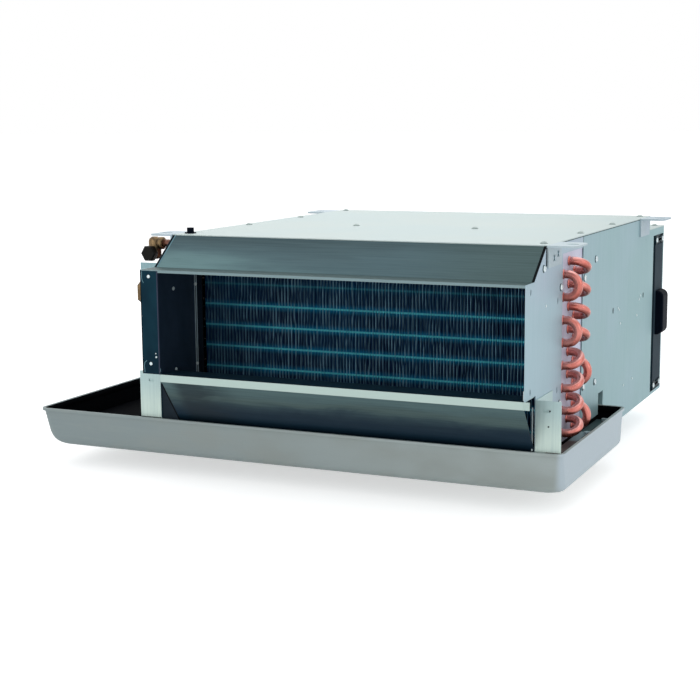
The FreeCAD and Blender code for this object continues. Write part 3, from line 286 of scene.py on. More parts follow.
def copperFinish(name, shade, shine, **colours):  # drawn tube with fine lines: a painted rosy highlight on top and painted brown shade below
    look = tones(**colours)
    f = Finish(name, look["fresh"])
    cloud = f.grain(even, 60.0, 3.0, 0.55, 0.3)
    draw = f.grain(even, 420.0, 3.0, 0.6)
    f.wash(look["worn"], cloud, 0.35, 0.7, smooth=True)
    f.wash(look["under"], f.facing("Z"), 0.2, -0.75, 0, shade, True)
    f.wash(look["rose"], f.facing("Z"), 0.45, 0.95, 0, shine, True)
    f.wash(look["line"], draw, 0.55, 0.8, 0, 0.3)
    return f.close(0.7, f.spread(cloud, 0.3, 0.7, 0.2, 0.32), bareMetalGloss, draw, 0.08, 0.0002)


def brassFinish():  # cast and machined brass, dulled brown, with painted shade on its undersides
    look = tones(bright=(138, 114, 80), dull=(84, 70, 52), under=(34, 28, 20), pit=(52, 43, 32))
    f = Finish("dullBrass", look["bright"])
    cloud = f.grain(even, 90.0, 4.0, 0.6, 0.6)
    pits = f.grain(even, 600.0, 3.0, 0.6)
    f.wash(look["dull"], cloud, 0.35, 0.65, smooth=True)
    f.wash(look["under"], f.facing("Z"), 0.1, -0.8, 0, 0.8, True)
    f.wash(look["pit"], pits, 0.55, 0.8, 0, 0.5)
    return f.close(0.7, f.spread(pits, 0.3, 0.7, 0.3, 0.5), bareMetalGloss, pits, 0.25, 0.0004)


def panFinish():  # grey pan steel: warm on the long front and lighter to the right, its right-facing end tinted bluish by painted light
    look = tones(left=(136, 149, 151), right=(168, 179, 178), mottle=(150, 158, 155), brush=(160, 170, 168),
                 ends=(184, 198, 206), fine=(112, 120, 120))
    lighterReach = (-0.38, 0.2)
    f = Finish("panSteel", look["left"])
    cloud = f.grain((1, 2, 2), 9.0, 3.0, 0.5)
    brush = f.grain((4, 90, 90), 4.0, 5.0, 0.65)
    fine = f.grain(even, 1100.0, 2.0, 0.5)
    f.wash(look["right"], f.place("X"), *lighterReach)
    f.wash(look["mottle"], cloud, 0.4, 0.68, 0, 0.8, True)
    f.wash(look["brush"], brush, 0.4, 0.75, 0, 0.25)
    # painted light: the faces towards +X take a bluish tint
    f.wash(look["ends"], f.facing("X"), 0.25, 0.85, smooth=True)
    f.wash(look["fine"], fine, 0.55, 0.85, 0, 0.15)
    return f.close(0.2, f.spread(brush, 0.3, 0.7, 0.42, 0.55), 0.2, f.sums("ADD", brush, fine), 0.1)


plainLook = {"flecks": 0.2, "metal": 0.0, "gloss": 0.1, "bump": 0.15, "depth": 0.0003, "cloudScale": 30.0,
             "fineScale": 900.0}


def plain(name, main, second, rough, **changes):  # painted, moulded or plated surface with a faint cloud
    look = {**plainLook, "fleck": second, **changes}
    f = Finish(name, paint(*main))
    cloud = f.grain(even, look["cloudScale"], 3.0, 0.55)
    fine = f.grain(even, look["fineScale"], 3.0, 0.6)
    f.wash(paint(*second), cloud, 0.3, 0.7, smooth=True)
    f.wash(paint(*look["fleck"]), fine, 0.5, 0.8, 0, look["flecks"])
    return f.close(look["metal"], f.spread(fine, 0.3, 0.7, *rough), look["gloss"], fine, look["bump"],
                   look["depth"])


finishes = {
    # The sheet finishes are copies of one zinc-coated steel, each tinted for the light on it: the top copy
    # paler in painted light from above, the plate, ear and tube sheet copies in their own painted tints of
    # light, the inside copy darker in painted shade.
    "side": steel("sideSheet"),
    "top": steel("topSheet", main=(188, 202, 200), second=(184, 201, 201), roll=(197, 208, 205),
                 rollWay=(3, 60, 60), rollScale=7.0),
    "plate": steel("frontPlateSheet", main=(168, 194, 204), second=(176, 192, 207), roll=(160, 190, 198)),
    "ear": steel("earSheet", main=(182, 196, 208), second=(190, 204, 210), rollWay=(3, 60, 60)),
    "tubeSheet": steel("tubeSheetMetal", main=(196, 200, 220), second=(206, 206, 224),
                       roll=(184, 192, 210)),
    "inside": steel("insideSheet", main=(120, 132, 138), second=(132, 144, 148), roll=(150, 160, 162)),
    "impeller": steel("impellerSheet", metal=0.7),
    "hood": hoodFinish(), "drip": dripFinish(), "leftPlate": leftPlateFinish(), "pan": panFinish(),
    "leftTubeSheet": leftTubeSheetFinish(), "bracket": bracketFinish(), "brass": brassFinish(),
    "copper": copperFinish("drawnCopper", 0.95, 0.8, fresh=(220, 138, 128), worn=(204, 114, 102),
                           under=(110, 52, 42), rose=(250, 196, 192), line=(122, 58, 46)),
    "dullCopper": copperFinish("dullCopper", 0.8, 0.5, fresh=(120, 80, 66), worn=(92, 62, 52),
                               under=(50, 34, 28), rose=(150, 110, 94), line=(66, 44, 36)),
    # painted shade: a near-black copy of the copper for the tube runs inside the fin pack
    "insideCopper": copperFinish("insideCopper", 0.7, 0.4, fresh=(44, 28, 22), worn=(34, 22, 18),
                                 under=(20, 14, 12), rose=(60, 38, 30), line=(24, 16, 14)),
}
plainLooks = {  # main and second colour, roughness from and to, and what differs from plainLook
    "lining": ((6, 7, 10), (10, 12, 16), (0.82, 0.92),
               {"fleck": (20, 23, 28), "bump": 0.3, "cloudScale": 24.0, "gloss": 0.02}),
    "rubber": ((22, 22, 24), (30, 30, 33), (0.6, 0.75), {}),
    "blackPlastic": ((7, 13, 24), (10, 17, 29), (0.5, 0.62), {"bump": 0.2, "gloss": 0.03}),
    "capPlastic": ((14, 16, 16), (24, 22, 18), (0.35, 0.5), {"bump": 0.3}),
    "strip": ((40, 56, 66), (46, 62, 72), (0.55, 0.66), {"fleck": (60, 74, 82), "gloss": 0.04}),
    "clip": ((20, 42, 50), (28, 52, 60), (0.42, 0.56), {}),
    # painted shade: dark sheets and marks set in gaps, slots and holes where shade falls
    "gapDark": ((8, 12, 16), (12, 17, 22), (0.75, 0.9), {}),
    "seam": ((52, 74, 80), (66, 88, 94), (0.6, 0.75), {}),
    # zinc and topZinc are one plating in two painted tints of light, the top screw heads darker than the
    # side ones
    "zinc": ((222, 232, 234), (204, 218, 222), (0.22, 0.36), {"metal": 0.6}),
    "topZinc": ((190, 204, 200), (170, 184, 182), (0.3, 0.4), {"metal": 0.5}),
    # painted highlights: the pressed dimples and dots drawn near white
    "dimple": ((236, 246, 247), (216, 230, 232), (0.3, 0.4), {"metal": 0.1}),
    # painted highlight: pale lines on fold edges
    "paleLine": ((206, 220, 222), (190, 206, 210), (0.4, 0.5), {"metal": 0.2}),
    "foldLine": ((112, 150, 160), (90, 126, 138), (0.4, 0.5), {"metal": 0.2}),
    "lilac": ((66, 70, 88), (54, 60, 78), (0.4, 0.5), {"metal": 0.2}),
    "shaft": ((170, 172, 174), (150, 152, 155), (0.2, 0.3), {"metal": 0.9}),
    "core": ((88, 90, 96), (70, 72, 78), (0.4, 0.55), {"metal": 0.7}),
    "motor": ((40, 42, 46), (50, 52, 56), (0.35, 0.5), {}),
    "foam": ((42, 43, 46), (56, 57, 60), (0.85, 0.95), {"bump": 0.6, "depth": 0.001}),
    "filterFrame": ((186, 192, 194), (172, 179, 182), (0.32, 0.48), {"metal": 0.7}),
    "media": ((224, 228, 222), (206, 212, 206), (0.85, 0.95),
              {"fleck": (180, 186, 180), "flecks": 0.5, "bump": 0.5, "depth": 0.0008, "fineScale": 1500.0}),
    "terminal": ((224, 222, 206), (214, 211, 194), (0.35, 0.45), {}),
    # painted shade: the dark sheet beside the drip sheet's left end
    "dripSide": ((30, 41, 50), (40, 50, 59), (0.6, 0.75), {"cloudScale": 60.0}),
    # painted highlight: the rim bead drawn lighter than the pan
    "panRim": ((164, 176, 175), (146, 158, 158), (0.35, 0.5), {"metal": 0.3, "cloudScale": 60.0}),
    # painted highlight: the outlet lip's end drawn pale
    "lipEnd": ((184, 204, 198), (170, 192, 188), (0.4, 0.5), {"metal": 0.3}),
}
for finishName, (main, second, rough, changes) in plainLooks.items():
    finishes[finishName] = plain(finishName, main, second, rough, **changes)
print("finishes made", len(finishes))

# Finish of each CAD piece
nodeFinish = {
    "top": ["top_panel", "rear_top_cover"],
    "hood": ["outlet_hood"],
    "drip": ["front_drip_sheet"],
    "plate": ["right_front_plate"],
    "leftPlate": ["left_front_plate"],
    "side": ["right_side_panel", "left_side_panel", "return_frame", "connection_bracket", "terminal_box",
             "terminal_lid", "bottom_panel"],
    "ear": ["hanging_ears"],
    "inside": ["fan_deck", "coil_top_baffle", "rear_pan_clips", "right_scroll", "left_scroll",
               "motor_bracket", "filter_guides"],
    "tubeSheet": ["right_tube_sheet"],
    "leftTubeSheet": ["left_tube_sheet"],
    "bracket": ["right_pan_bracket", "left_pan_bracket"],
    "copper": ["coil_hairpins", "left_return_bends", "front_header", "rear_header"],
    "dullCopper": ["vent_pipe"],
    "brass": ["return_union", "supply_union", "vent_elbow", "drain_spigot", "drain_nut"],
    "pan": ["drain_pan"],
    "lining": ["pan_lining"],
    "rubber": ["drain_gasket", "motor_rubber_rings"],
    "blackPlastic": ["filter_handle", "top_plug", "cable_gland"],
    "capPlastic": ["vent_cap"],
    "strip": ["filter_end_strip"],
    "clip": ["filter_clips"],
    "zinc": ["pan_bolts", "casing_screws"],
    "impeller": ["right_impeller", "left_impeller"],
    "shaft": ["motor_shaft", "motor_bearings"],
    "core": ["motor_rotor", "motor_stator"],
    "motor": ["motor_right_shell", "motor_left_shell"],
    "foam": ["top_insulation"],
    "filterFrame": ["filter_frame"],
    "media": ["filter_media"],
    "terminal": ["terminal_block"],
}
for finishName, names in nodeFinish.items():
    for nodeName in names:
        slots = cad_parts[nodeName].data.materials
        slots.clear()
        slots.append(finishes[finishName])


# Mesh helpers
def addObject(name, data):
    made = bpy.data.objects.new(name, data)
    bpy.context.scene.collection.objects.link(made)
    return made


def makePiece(name, shape, finish, slot, body="casing", smooth=False, shades=None):
    verts, faces = shape
    mesh = bpy.data.meshes.new(name)
    mesh.from_pydata([tuple(v) for v in verts], [], faces)
    for item in (finish if isinstance(finish, list) else [finish]):
        mesh.materials.append(finishes[item])
    if shades:
        mesh.polygons.foreach_set("material_index", shades)
    if smooth:
        mesh.polygons.foreach_set("use_smooth", [True] * len(mesh.polygons))
    mesh.validate()
    made = addObject(name, mesh)
    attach(made, body)
    return made


class Heap:  # gathers the shapes of one piece; shade picks one of the piece's finishes
    def __init__(self):
        self.verts, self.faces, self.shades = [], [], []

    def take(self, shape, shade=0):
        verts, faces = shape
        start = len(self.verts)
        self.verts += verts
        self.faces += [[start + i for i in face] for face in faces]
        self.shades += [shade] * len(faces)

    def make(self, name, finish, slot, **settings):
        return makePiece(name, (self.verts, self.faces), finish, slot, shades=self.shades, **settings)


def ringFaces(rings, count, capped=True):  # faces between rings of points, and over both ends
    faces = []
    for start in range(0, (rings - 1) * count, count):
        faces += [(start + k, start + (k + 1) % count, start + count + (k + 1) % count, start + count + k)
                  for k in range(count)]
    if capped:
        faces += [tuple(reversed(range(count))), tuple(range((rings - 1) * count, rings * count))]
    return faces


def benchBox(x0, x1, y0, y1, z0, z1):
    verts = [bench(x, y, z) for x in (x0, x1) for y in (y0, y1) for z in (z0, z1)]
    return verts, [(0, 1, 3, 2), (4, 6, 7, 5), (0, 4, 5, 1), (2, 3, 7, 6), (0, 2, 6, 4), (1, 5, 7, 3)]


def slabShape(loop, shift):  # sheet between a loop of points and the same loop moved
    return loop + [point + shift for point in loop], ringFaces(2, len(loop))


def arcPoints(centre, first, second, turn, steps):  # arc that starts at first and turns towards second
    turns = [turn * k / steps for k in range(steps + 1)]
    return [centre + first * math.cos(a) + second * math.sin(a) for a in turns]


def circlePoints(centre, first, second, steps):
    return arcPoints(centre, first, second, 2 * math.pi, steps)[:-1]


def squareAxes(axis):  # a direction and two more that are square to it
    axis = Vector(axis).normalized()
    across = axis.orthogonal().normalized()
    return axis, across, axis.cross(across)


def tubeShape(points, radius, sides, closed=False):  # round tube along points, its radius in millimetres
    count = len(points)
    across = squareAxes(points[1] - points[0])[1]
    verts = []
    for i, point in enumerate(points):
        before, after = (i - 1, (i + 1) % count) if closed else (max(i - 1, 0), min(i + 1, count - 1))
        heading = (points[after] - points[before]).normalized()
        across = (across - heading * across.dot(heading)).normalized()
        arm = across * radius * mm
        verts += circlePoints(point, arm, heading.cross(arm), sides)
    faces = ringFaces(count, sides, not closed)
    if closed:
        last = (count - 1) * sides
        faces += [(last + k, last + (k + 1) % sides, (k + 1) % sides, k) for k in range(sides)]
    return verts, faces


def spunShape(profile, place, axis, steps):  # turned from radius and distance along the axis, in millimetres
    axis, across, up = squareAxes(axis)
    verts = []
    for radius, reach in profile:
        verts += circlePoints(place + axis * reach * mm, across * radius * mm, up * radius * mm, steps)
    return verts, ringFaces(len(profile), steps)


def arcPlaces(x, y, radius, start, turn, steps):  # pairs of bench places along an arc, angles in degrees
    turns = [math.radians(start + turn * k / steps) for k in range(steps + 1)]
    return [(x + radius * math.cos(a), y + radius * math.sin(a)) for a in turns]


def ovalPlaces(x, y, halfX, halfY, steps):
    return [(x + halfX * u, y + halfY * v) for u, v in arcPlaces(0, 0, 1, 0, 360, steps)[:-1]]


def cornerArcs(x0, x1, y0, y1, radius, steps):  # round corners of a rectangle, from its lower right one on
    centres = [(x1 - radius, y0 + radius), (x1 - radius, y1 - radius), (x0 + radius, y1 - radius),
               (x0 + radius, y0 + radius)]
    return [arcPlaces(x, y, radius, 90 * i - 90, 90, steps) for i, (x, y) in enumerate(centres)]


def tabOutline(base, tip, low, high, radius, steps):  # tab with two round corners at its tip
    arcs = cornerArcs(base, tip, low, high, radius, steps)
    return [(base, low)] + arcs[0] + arcs[1] + [(base, high)]


def flatTriangles(loops):  # triangles of a flat face with holes; the first loop is its outline
    return tessellate_polygon([[Vector((u, v, 0)) for u, v in loop] for loop in loops])


def islands(nodeName):  # boxes of the loose solids of a CAD piece
    bm = bmesh.new()
    bm.from_mesh(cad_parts[nodeName].data)
    bmesh.ops.remove_doubles(bm, verts=bm.verts, dist=1e-6)
    left = set(bm.verts)
    found = []
    while left:
        group, edge = set(), [left.pop()]
        while edge:
            vert = edge.pop()
            group.add(vert)
            for link in vert.link_edges:
                other = link.other_vert(vert)
                if other in left:
                    left.discard(other)
                    edge.append(other)
        low = Vector([min(v.co[i] for v in group) for i in range(3)])
        high = Vector([max(v.co[i] for v in group) for i in range(3)])
        found.append((low, high))
    bm.free()
    return sorted(found, key=lambda pair: tuple(round(c, 5) for c in pair[0]))


def soften(piece, width, segments, angle=35):  # round the edges of a finished piece
    weld = piece.modifiers.new("weld", "WELD")
    weld.merge_threshold = 1e-6
    made = piece.modifiers.new("bevel", "BEVEL")
    made.width = width * mm
    made.segments = segments
    made.limit_method = "ANGLE"
    made.angle_limit = math.radians(angle)
    made.use_clamp_overlap = True


# Coil
coil = {
    "tubeRadius": 4.76, "tubePitch": 25.4, "rowPitch": 22.0, "firstRow": 138.0, "lowestTube": 45.4,
    "tubesHigh": 8, "rows": 3, "bendStraight": 5.0, "tubeEnd": 3.0, "bendSteps": 18, "tubeSides": 22,
    "finPitch": 2.0, "finThickness": 0.6, "finEdge": 11.0, "finInset": 9.6, "finLean": 0.55, "finSteps": 24,
    "leanWaves": [(1.0, 0.045, 3.1, 0.035), (0.35, 0.6, 8.2, 0.05)],
    "collarRadius": 5.5, "collarLength": 1.6, "cupRadius": 5.6, "cupLength": 7.0, "cupGap": 0.3, "seed": 7,
}
# painted light on the fins: highlight edges and a teal glow and line at each tube's height, weaker in
# painted shade under the hood and near the left wall
finLook = {
    "glintPitch": 0.0042, "glintHalf": 0.0013, "glowReach": 0.0075, "lineReach": (0.0006, 0.0017),
    "faintBand": (184.0, 194.0), "dimEnd": (-0.215, -0.11), "sway": 0.0012,
    **tones(dark=(14, 44, 82), darkCloud=(22, 72, 112), glint=(150, 200, 222), glow=(0, 150, 200),
            line=(120, 240, 252)),
}


def tubePlace(row, level):
    lift = coil["tubePitch"] / 2 if row % 2 else 0
    y = coil["firstRow"] + row * coil["rowPitch"]
    return y, coil["lowestTube"] + coil["tubePitch"] * (coil["tubesHigh"] - level) + lift


def finFinish():  # coated fin stock, blue black, with painted highlights on a pattern of fin edges and a painted teal glow and highlight line at each tube's height; the teal is fainter in painted shade under the hood, glints and teal both weaker in painted shade towards the left wall
    look = finLook
    f = Finish("coatedFins", look["dark"])
    slow = f.grain((14, 1, 6), 1.0, 2.0, 0.5)
    bend = f.grain((70, 1, 26), 1.0, 1.0, 0.5)
    spark = f.grain((260, 1, 34), 1.0, 1.0, 0.5)
    across, height = f.place("X"), f.place("Z")
    fromTube = f.sums("SUBTRACT", height, levels(coil["lowestTube"])[0])
    phase = f.sums("PINGPONG", fromTube, coil["tubePitch"] * mm / 2)
    shifted = f.sums("ADD", across, f.spread(bend, 0.3, 0.7, -look["sway"], look["sway"]))
    near = f.sums("PINGPONG", shifted, look["glintPitch"] / 2)  # distance from the nearest painted highlight edge
    glint = f.times(f.spread(near, 0, look["glintHalf"], 1, 0, True),
                    f.spread(spark, 0.3, 0.6, 0.4, 1, True))
    side = f.spread(across, *look["dimEnd"], 0.5, 1, True)
    strong = f.times(f.spread(height, *levels(*look["faintBand"]), 1, 0.25, True), side)
    f.wash(look["darkCloud"], slow, 0.35, 0.7, smooth=True)
    f.cover(look["glow"], f.times(f.spread(phase, 0, look["glowReach"], 0.8, 0, True), strong))
    f.cover(look["glint"], f.times(glint, f.times(side, 0.85)))
    f.cover(look["line"], f.times(f.spread(phase, *look["lineReach"], 0.95, 0, True), strong))
    return f.close(0.0, 0.6, 0.05, slow, 0.1)


finishes["fins"] = finFinish()


def makeFins():
    reach = innerHalf - coil["finInset"]
    y0 = coil["firstRow"] - coil["finEdge"]
    y1 = coil["firstRow"] + (coil["rows"] - 1) * coil["rowPitch"] + coil["finEdge"]
    z0 = coil["lowestTube"] - coil["tubePitch"] / 4
    high = coil["tubePitch"] * coil["tubesHigh"]
    steps, thick = coil["finSteps"], coil["finThickness"] / 2
    heap = Heap()
    for i in range(int(2 * reach / coil["finPitch"])):
        x = -reach + (i + 0.5) * coil["finPitch"]
        verts = []
        for k in range(steps + 1):
            z = z0 + high * k / steps
            lean = coil["finLean"] * sum(share * noise.noise(Vector((x * across, shift, z * up)))
                                         for share, across, shift, up in coil["leanWaves"])
            verts += [bench(x + lean - thick, y0, z), bench(x + lean + thick, y0, z),
                      bench(x + thick, y1, z), bench(x - thick, y1, z)]
        heap.take((verts, ringFaces(steps + 1, 4)))
    fins = heap.make("coilFins", "fins", "fin_aluminium")
    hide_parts("fin_pack")


def bendPoints(start, end, side, startX, leg):  # centreline of a U tube from one tube end to the other
    first, second = bench(startX, *start), bench(startX, *end)
    middle = (first + second) / 2
    out, heading = first - middle, Vector((side, 0, 0))
    arc = arcPoints(middle, out, heading * out.length, math.pi, coil["bendSteps"])
    return [first - heading * leg * mm] + arc + [second - heading * leg * mm]


# Tubes that each bend joins, as row from the front and level from the top
rightBends = [((0, 1), (0, 2)), ((0, 3), (0, 4)), ((2, 5), (2, 6)), ((2, 7), (2, 8))]
rightBends += [((1, level), (2, level)) for level in range(1, 5)]
rightBends += [((0, level), (1, level)) for level in range(5, 9)]
leftBends = [((0, 2), (0, 3)), ((0, 4), (1, 4)), ((2, 4), (2, 3)), ((1, 3), (1, 2)), ((2, 2), (2, 1)),
             ((0, 5), (0, 6)), ((1, 6), (1, 7)), ((0, 7), (0, 8)), ((1, 8), (2, 8)), ((2, 7), (2, 6))]


def cupShape(y, z):  # belled end of a bend, brazed over a tube on the left
    radius, length = coil["cupRadius"], coil["cupLength"]
    profile = [(radius, 0), (radius, length * 0.8), (radius * 0.97, length * 0.92),
               (coil["tubeRadius"] * 0.99, length)]
    return spunShape(profile, bench(-innerHalf - coil["cupGap"], y, z), (-1, 0, 0), coil["tubeSides"])


def makeBends():
    radius, sides = coil["tubeRadius"], coil["tubeSides"]
    collar = [(radius, 0), (coil["collarRadius"], 0), (coil["collarRadius"], coil["collarLength"] * 0.5),
              (radius * 1.01, coil["collarLength"])]
    heap = Heap()
    x, leg = innerHalf + coil["bendStraight"], coil["bendStraight"] + sheetGauge
    for a, b in rightBends:
        heap.take(tubeShape(bendPoints(tubePlace(*a), tubePlace(*b), 1, x, leg), radius, sides))
    for row in range(coil["rows"]):
        for level in range(1, coil["tubesHigh"] + 1):
            place = tubePlace(row, level)
            run = [bench(innerHalf - sheetGauge, *place), bench(-innerHalf - coil["tubeEnd"], *place)]
            # shade 1 draws the run inside the fin pack in painted shade
            heap.take(tubeShape(run, radius, sides), 1)
            heap.take(spunShape(collar, bench(innerHalf, *place), (1, 0, 0), sides))
    piece = heap.make("copperHairpins", ["copper", "insideCopper"], "copper_tube", smooth=True)
    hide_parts("coil_hairpins")
    heap = Heap()
    x, leg = -innerHalf - 2 * coil["tubeEnd"], coil["tubeEnd"]
    for a, b in leftBends:
        heap.take(tubeShape(bendPoints(tubePlace(*a), tubePlace(*b), -1, x, leg), radius, sides))
        for end in (a, b):
            heap.take(cupShape(*tubePlace(*end)))
    piece = heap.make("copperReturnBends", "copper", "copper_tube", smooth=True)
    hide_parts("left_return_bends")


makeFins()
makeBends()
print("coil dressed")

# Headers and air vent
header = {
    "radius": 11.0, "x": 34.0, "overhang": 10.0, "feedStart": 3.2, "sides": 32, "arcSteps": 10,
    "dome": [(0.35, 0.0), (0.8, 1.0), (1.0, 4.0)],
}
headerX = -innerHalf - header["x"]
vent = {
    "pipeRadius": 5.0, "pipeSides": 22, "arcSteps": 12, "pipeGap": 1.0, "x": 66.5, "height": 243.0,
    "bodyRadius": 7.8, "drop": 12.0, "reach": 8.5, "sides": 28, "collarInset": 1.0,
    "collar": [(0.72, 0), (0.98, 0.6), (0.98, 5.4), (0.72, 6.0)],
    "capWidth": 18.0, "capLength": 9.0, "capGap": 0.3,
    "plugRadius": 2.97, "plugLength": 7.0, "plugSides": 20,
}


def makeHeader(name, node, row, feeds):  # upright header with domed ends over its feed pipes
    heap = Heap()
    y, radius = coil["firstRow"] + row * coil["rowPitch"], header["radius"]
    heights = [tubePlace(feedRow, level)[1] for feedRow, level, towards in feeds]
    high, low = max(heights) + header["overhang"], min(heights) - header["overhang"]
    profile = [(radius * share, low + inset) for share, inset in header["dome"]]
    profile += [(radius * share, high - inset) for share, inset in reversed(header["dome"])]
    heap.take(spunShape(profile, bench(headerX, y, 0), (0, 0, 1), header["sides"]))
    for feedRow, level, towards in feeds:
        fy, fz = tubePlace(feedRow, level)
        points = [bench(-innerHalf - header["feedStart"], fy, fz), bench(headerX, fy, fz)]
        if towards:
            bend = coil["rowPitch"] / 2
            corner = bench(headerX + bend, fy + towards * bend, fz)
            arms = Vector((0, -towards * bend * mm, 0)), Vector((-bend * mm, 0, 0))
            arc = arcPoints(corner, *arms, math.pi / 2, header["arcSteps"])
            points = [points[0]] + arc + [bench(headerX, fy + towards * coil["rowPitch"], fz)]
        heap.take(tubeShape(points, coil["tubeRadius"], coil["tubeSides"]))
        heap.take(cupShape(fy, fz))
    piece = heap.make(name, "copper", "copper_tube", smooth=True)
    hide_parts(node)


def makeVent():
    y, height, radius = coil["firstRow"], vent["height"], vent["bodyRadius"]
    ventX, low = -innerHalf - vent["x"], height - vent["drop"]
    top = tubePlace(0, 1)[1] + header["overhang"]
    bend = height - top - vent["pipeGap"]
    arc = arcPoints(bench(headerX - bend, y, height - bend), Vector((bend * mm, 0, 0)),
                    Vector((0, 0, bend * mm)), math.pi / 2, vent["arcSteps"])
    points = [bench(headerX, y, top)] + arc + [bench(ventX + radius, y, height)]
    tube = tubeShape(points, vent["pipeRadius"], vent["pipeSides"])
    pipe = makePiece("ventPipe", tube, "dullCopper", "copper_tube", smooth=True)
    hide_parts("vent_pipe")
    foot, head, reach = low - radius, height + radius, vent["reach"]
    body = [(radius * 0.5, foot), (radius * 0.86, foot + 1.2), (radius, foot + 3.2), (radius, head - 5.5),
            (radius * 0.86, head - 2.2), (radius * 0.5, head)]
    arm = [(radius * 0.7, 0), (radius * 0.92, reach - 3.4), (radius, reach - 2.2), (radius, reach - 0.5),
           (radius * 0.9, reach)]
    collar = [(radius * share, out) for share, out in vent["collar"]]
    collarX = ventX + radius - vent["collarInset"]
    heap = Heap()
    heap.take(spunShape(body, bench(ventX, y, 0), (0, 0, 1), vent["sides"]))
    heap.take(spunShape(arm, bench(ventX, y, low), (0, -1, 0), vent["sides"]))
    heap.take(spunShape(collar, bench(collarX, y, height), (1, 0, 0), vent["sides"]))
    elbow = heap.make("ventElbow", "brass", "brass_fitting", smooth=True)
    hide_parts("vent_elbow")
    heap = Heap()
    face = bench(ventX, y - reach - vent["capGap"], low)
    corner, length = vent["capWidth"] / math.sqrt(3), vent["capLength"]
    turns = [math.pi * (k + 0.5) / 3 for k in range(6)]
    rings = [(0.86, 0.0), (1.0, 1.2), (1.0, length - 1.6), (0.84, length)]
    verts = [face + Vector((corner * share * math.sin(a), -out, corner * share * math.cos(a))) * mm
             for share, out in rings for a in turns]
    heap.take((verts, ringFaces(len(rings), 6)))
    plug = [(vent["plugRadius"], 0), (vent["plugRadius"], vent["plugLength"])]
    heap.take(spunShape(plug, face, (0, 1, 0), vent["plugSides"]))
    cap = heap.make("ventCap", "capPlastic", "black_plastic", body="vent")
    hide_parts("vent_cap")


makeHeader("frontHeader", "front_header", 0, [(0, 1, 0), (1, 5, -1)])
makeHeader("rearHeader", "rear_header", 2, [(2, 5, 0), (1, 1, 1)])
makeVent()
print("headers and vent dressed")

# Fasteners
fastener = {
    "head": (3.5, 2.3), "rivet": (2.0, 1.2), "rimHeight": 0.5, "rings": 12, "steps": 32, "mostTurn": 1.5,
    "crossReach": 1.9, "crossWidth": 0.62, "crossDepth": 0.9,
    "seatRadius": 4.3, "seatShift": 1.5, "seatRise": 0.14, "seatSteps": 24,
}


def screwShape(place, axis, radius, height, turn=None):  # domed head; a turn gives it a cross recess
    axis, across, up = squareAxes(axis)
    rings, steps, rim = fastener["rings"], fastener["steps"], fastener["rimHeight"]
    turns = [2 * math.pi * k / steps for k in range(steps)]
    verts = circlePoints(place, across * radius * mm, up * radius * mm, steps)
    for i in range(rings + 1):
        share = 1 - i / rings
        reach = radius * share
        for a in turns:
            rise = rim + (height - rim) * math.sqrt(max(0, 1 - share * share))
            if turn is not None:
                u, v = abs(reach * math.cos(a + turn)), abs(reach * math.sin(a + turn))
                if min(u, v) < fastener["crossWidth"] and max(u, v) < fastener["crossReach"]:
                    rise -= fastener["crossDepth"]
            arm = across * math.cos(a) + up * math.sin(a)
            verts.append(place + (axis * rise + arm * reach) * mm)
    return verts, ringFaces(rings + 2, steps, False) + [tuple(reversed(range(steps)))]


def outwardOf(low, high):  # seat and direction of a fastener on the casing's faces
    middle = (low + high) / 2
    tests = [((1, 0, 0), middle.x / mm > casingHalf), ((-1, 0, 0), middle.x / mm < -casingHalf),
             ((0, -1, 0), middle.y < outletPlane), ((0, 1, 0), middle.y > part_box("return_frame")[1].y),
             ((0, 0, -1), middle.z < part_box("fan_deck")[0].z), ((0, 0, 1), True)]
    axis = next(way for way, passed in tests if passed)
    seat = [(middle, low, high)[way][i] for i, way in enumerate(axis)]  # the side away from where it looks
    return Vector(seat), Vector(axis)


def makeFasteners():
    heads, seats = Heap(), Heap()
    # painted shadow: a dark disc under each screw head, shifted forwards on side screws so a dark crescent
    # shows beside the head, and centred under top screws as a dark ring
    seat = [(fastener["seatRadius"], 0), (fastener["seatRadius"], fastener["seatRise"])]
    random.seed(coil["seed"])
    for low, high in islands("casing_screws"):
        place, axis = outwardOf(low, high)
        if axis.y < -0.5:
            heads.take(screwShape(place, axis, *fastener["rivet"]))
            continue
        upward = abs(axis.z) > 0.5
        turn = random.uniform(0, fastener["mostTurn"])
        # shade 1 gives the upward heads their darker painted tint
        heads.take(screwShape(place, axis, *fastener["head"], turn), int(upward))
        shift = 0 if upward else -fastener["seatShift"] * mm
        seats.take(spunShape(seat, place + Vector((0, shift, 0)), axis, fastener["seatSteps"]))
    piece = heads.make("screwHeads", ["zinc", "topZinc"], "bright_fastener", smooth=True)
    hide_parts("casing_screws")
    seats.make("screwSeats", "seam", "galvanised_sheet")


makeFasteners()
print("fasteners dressed")

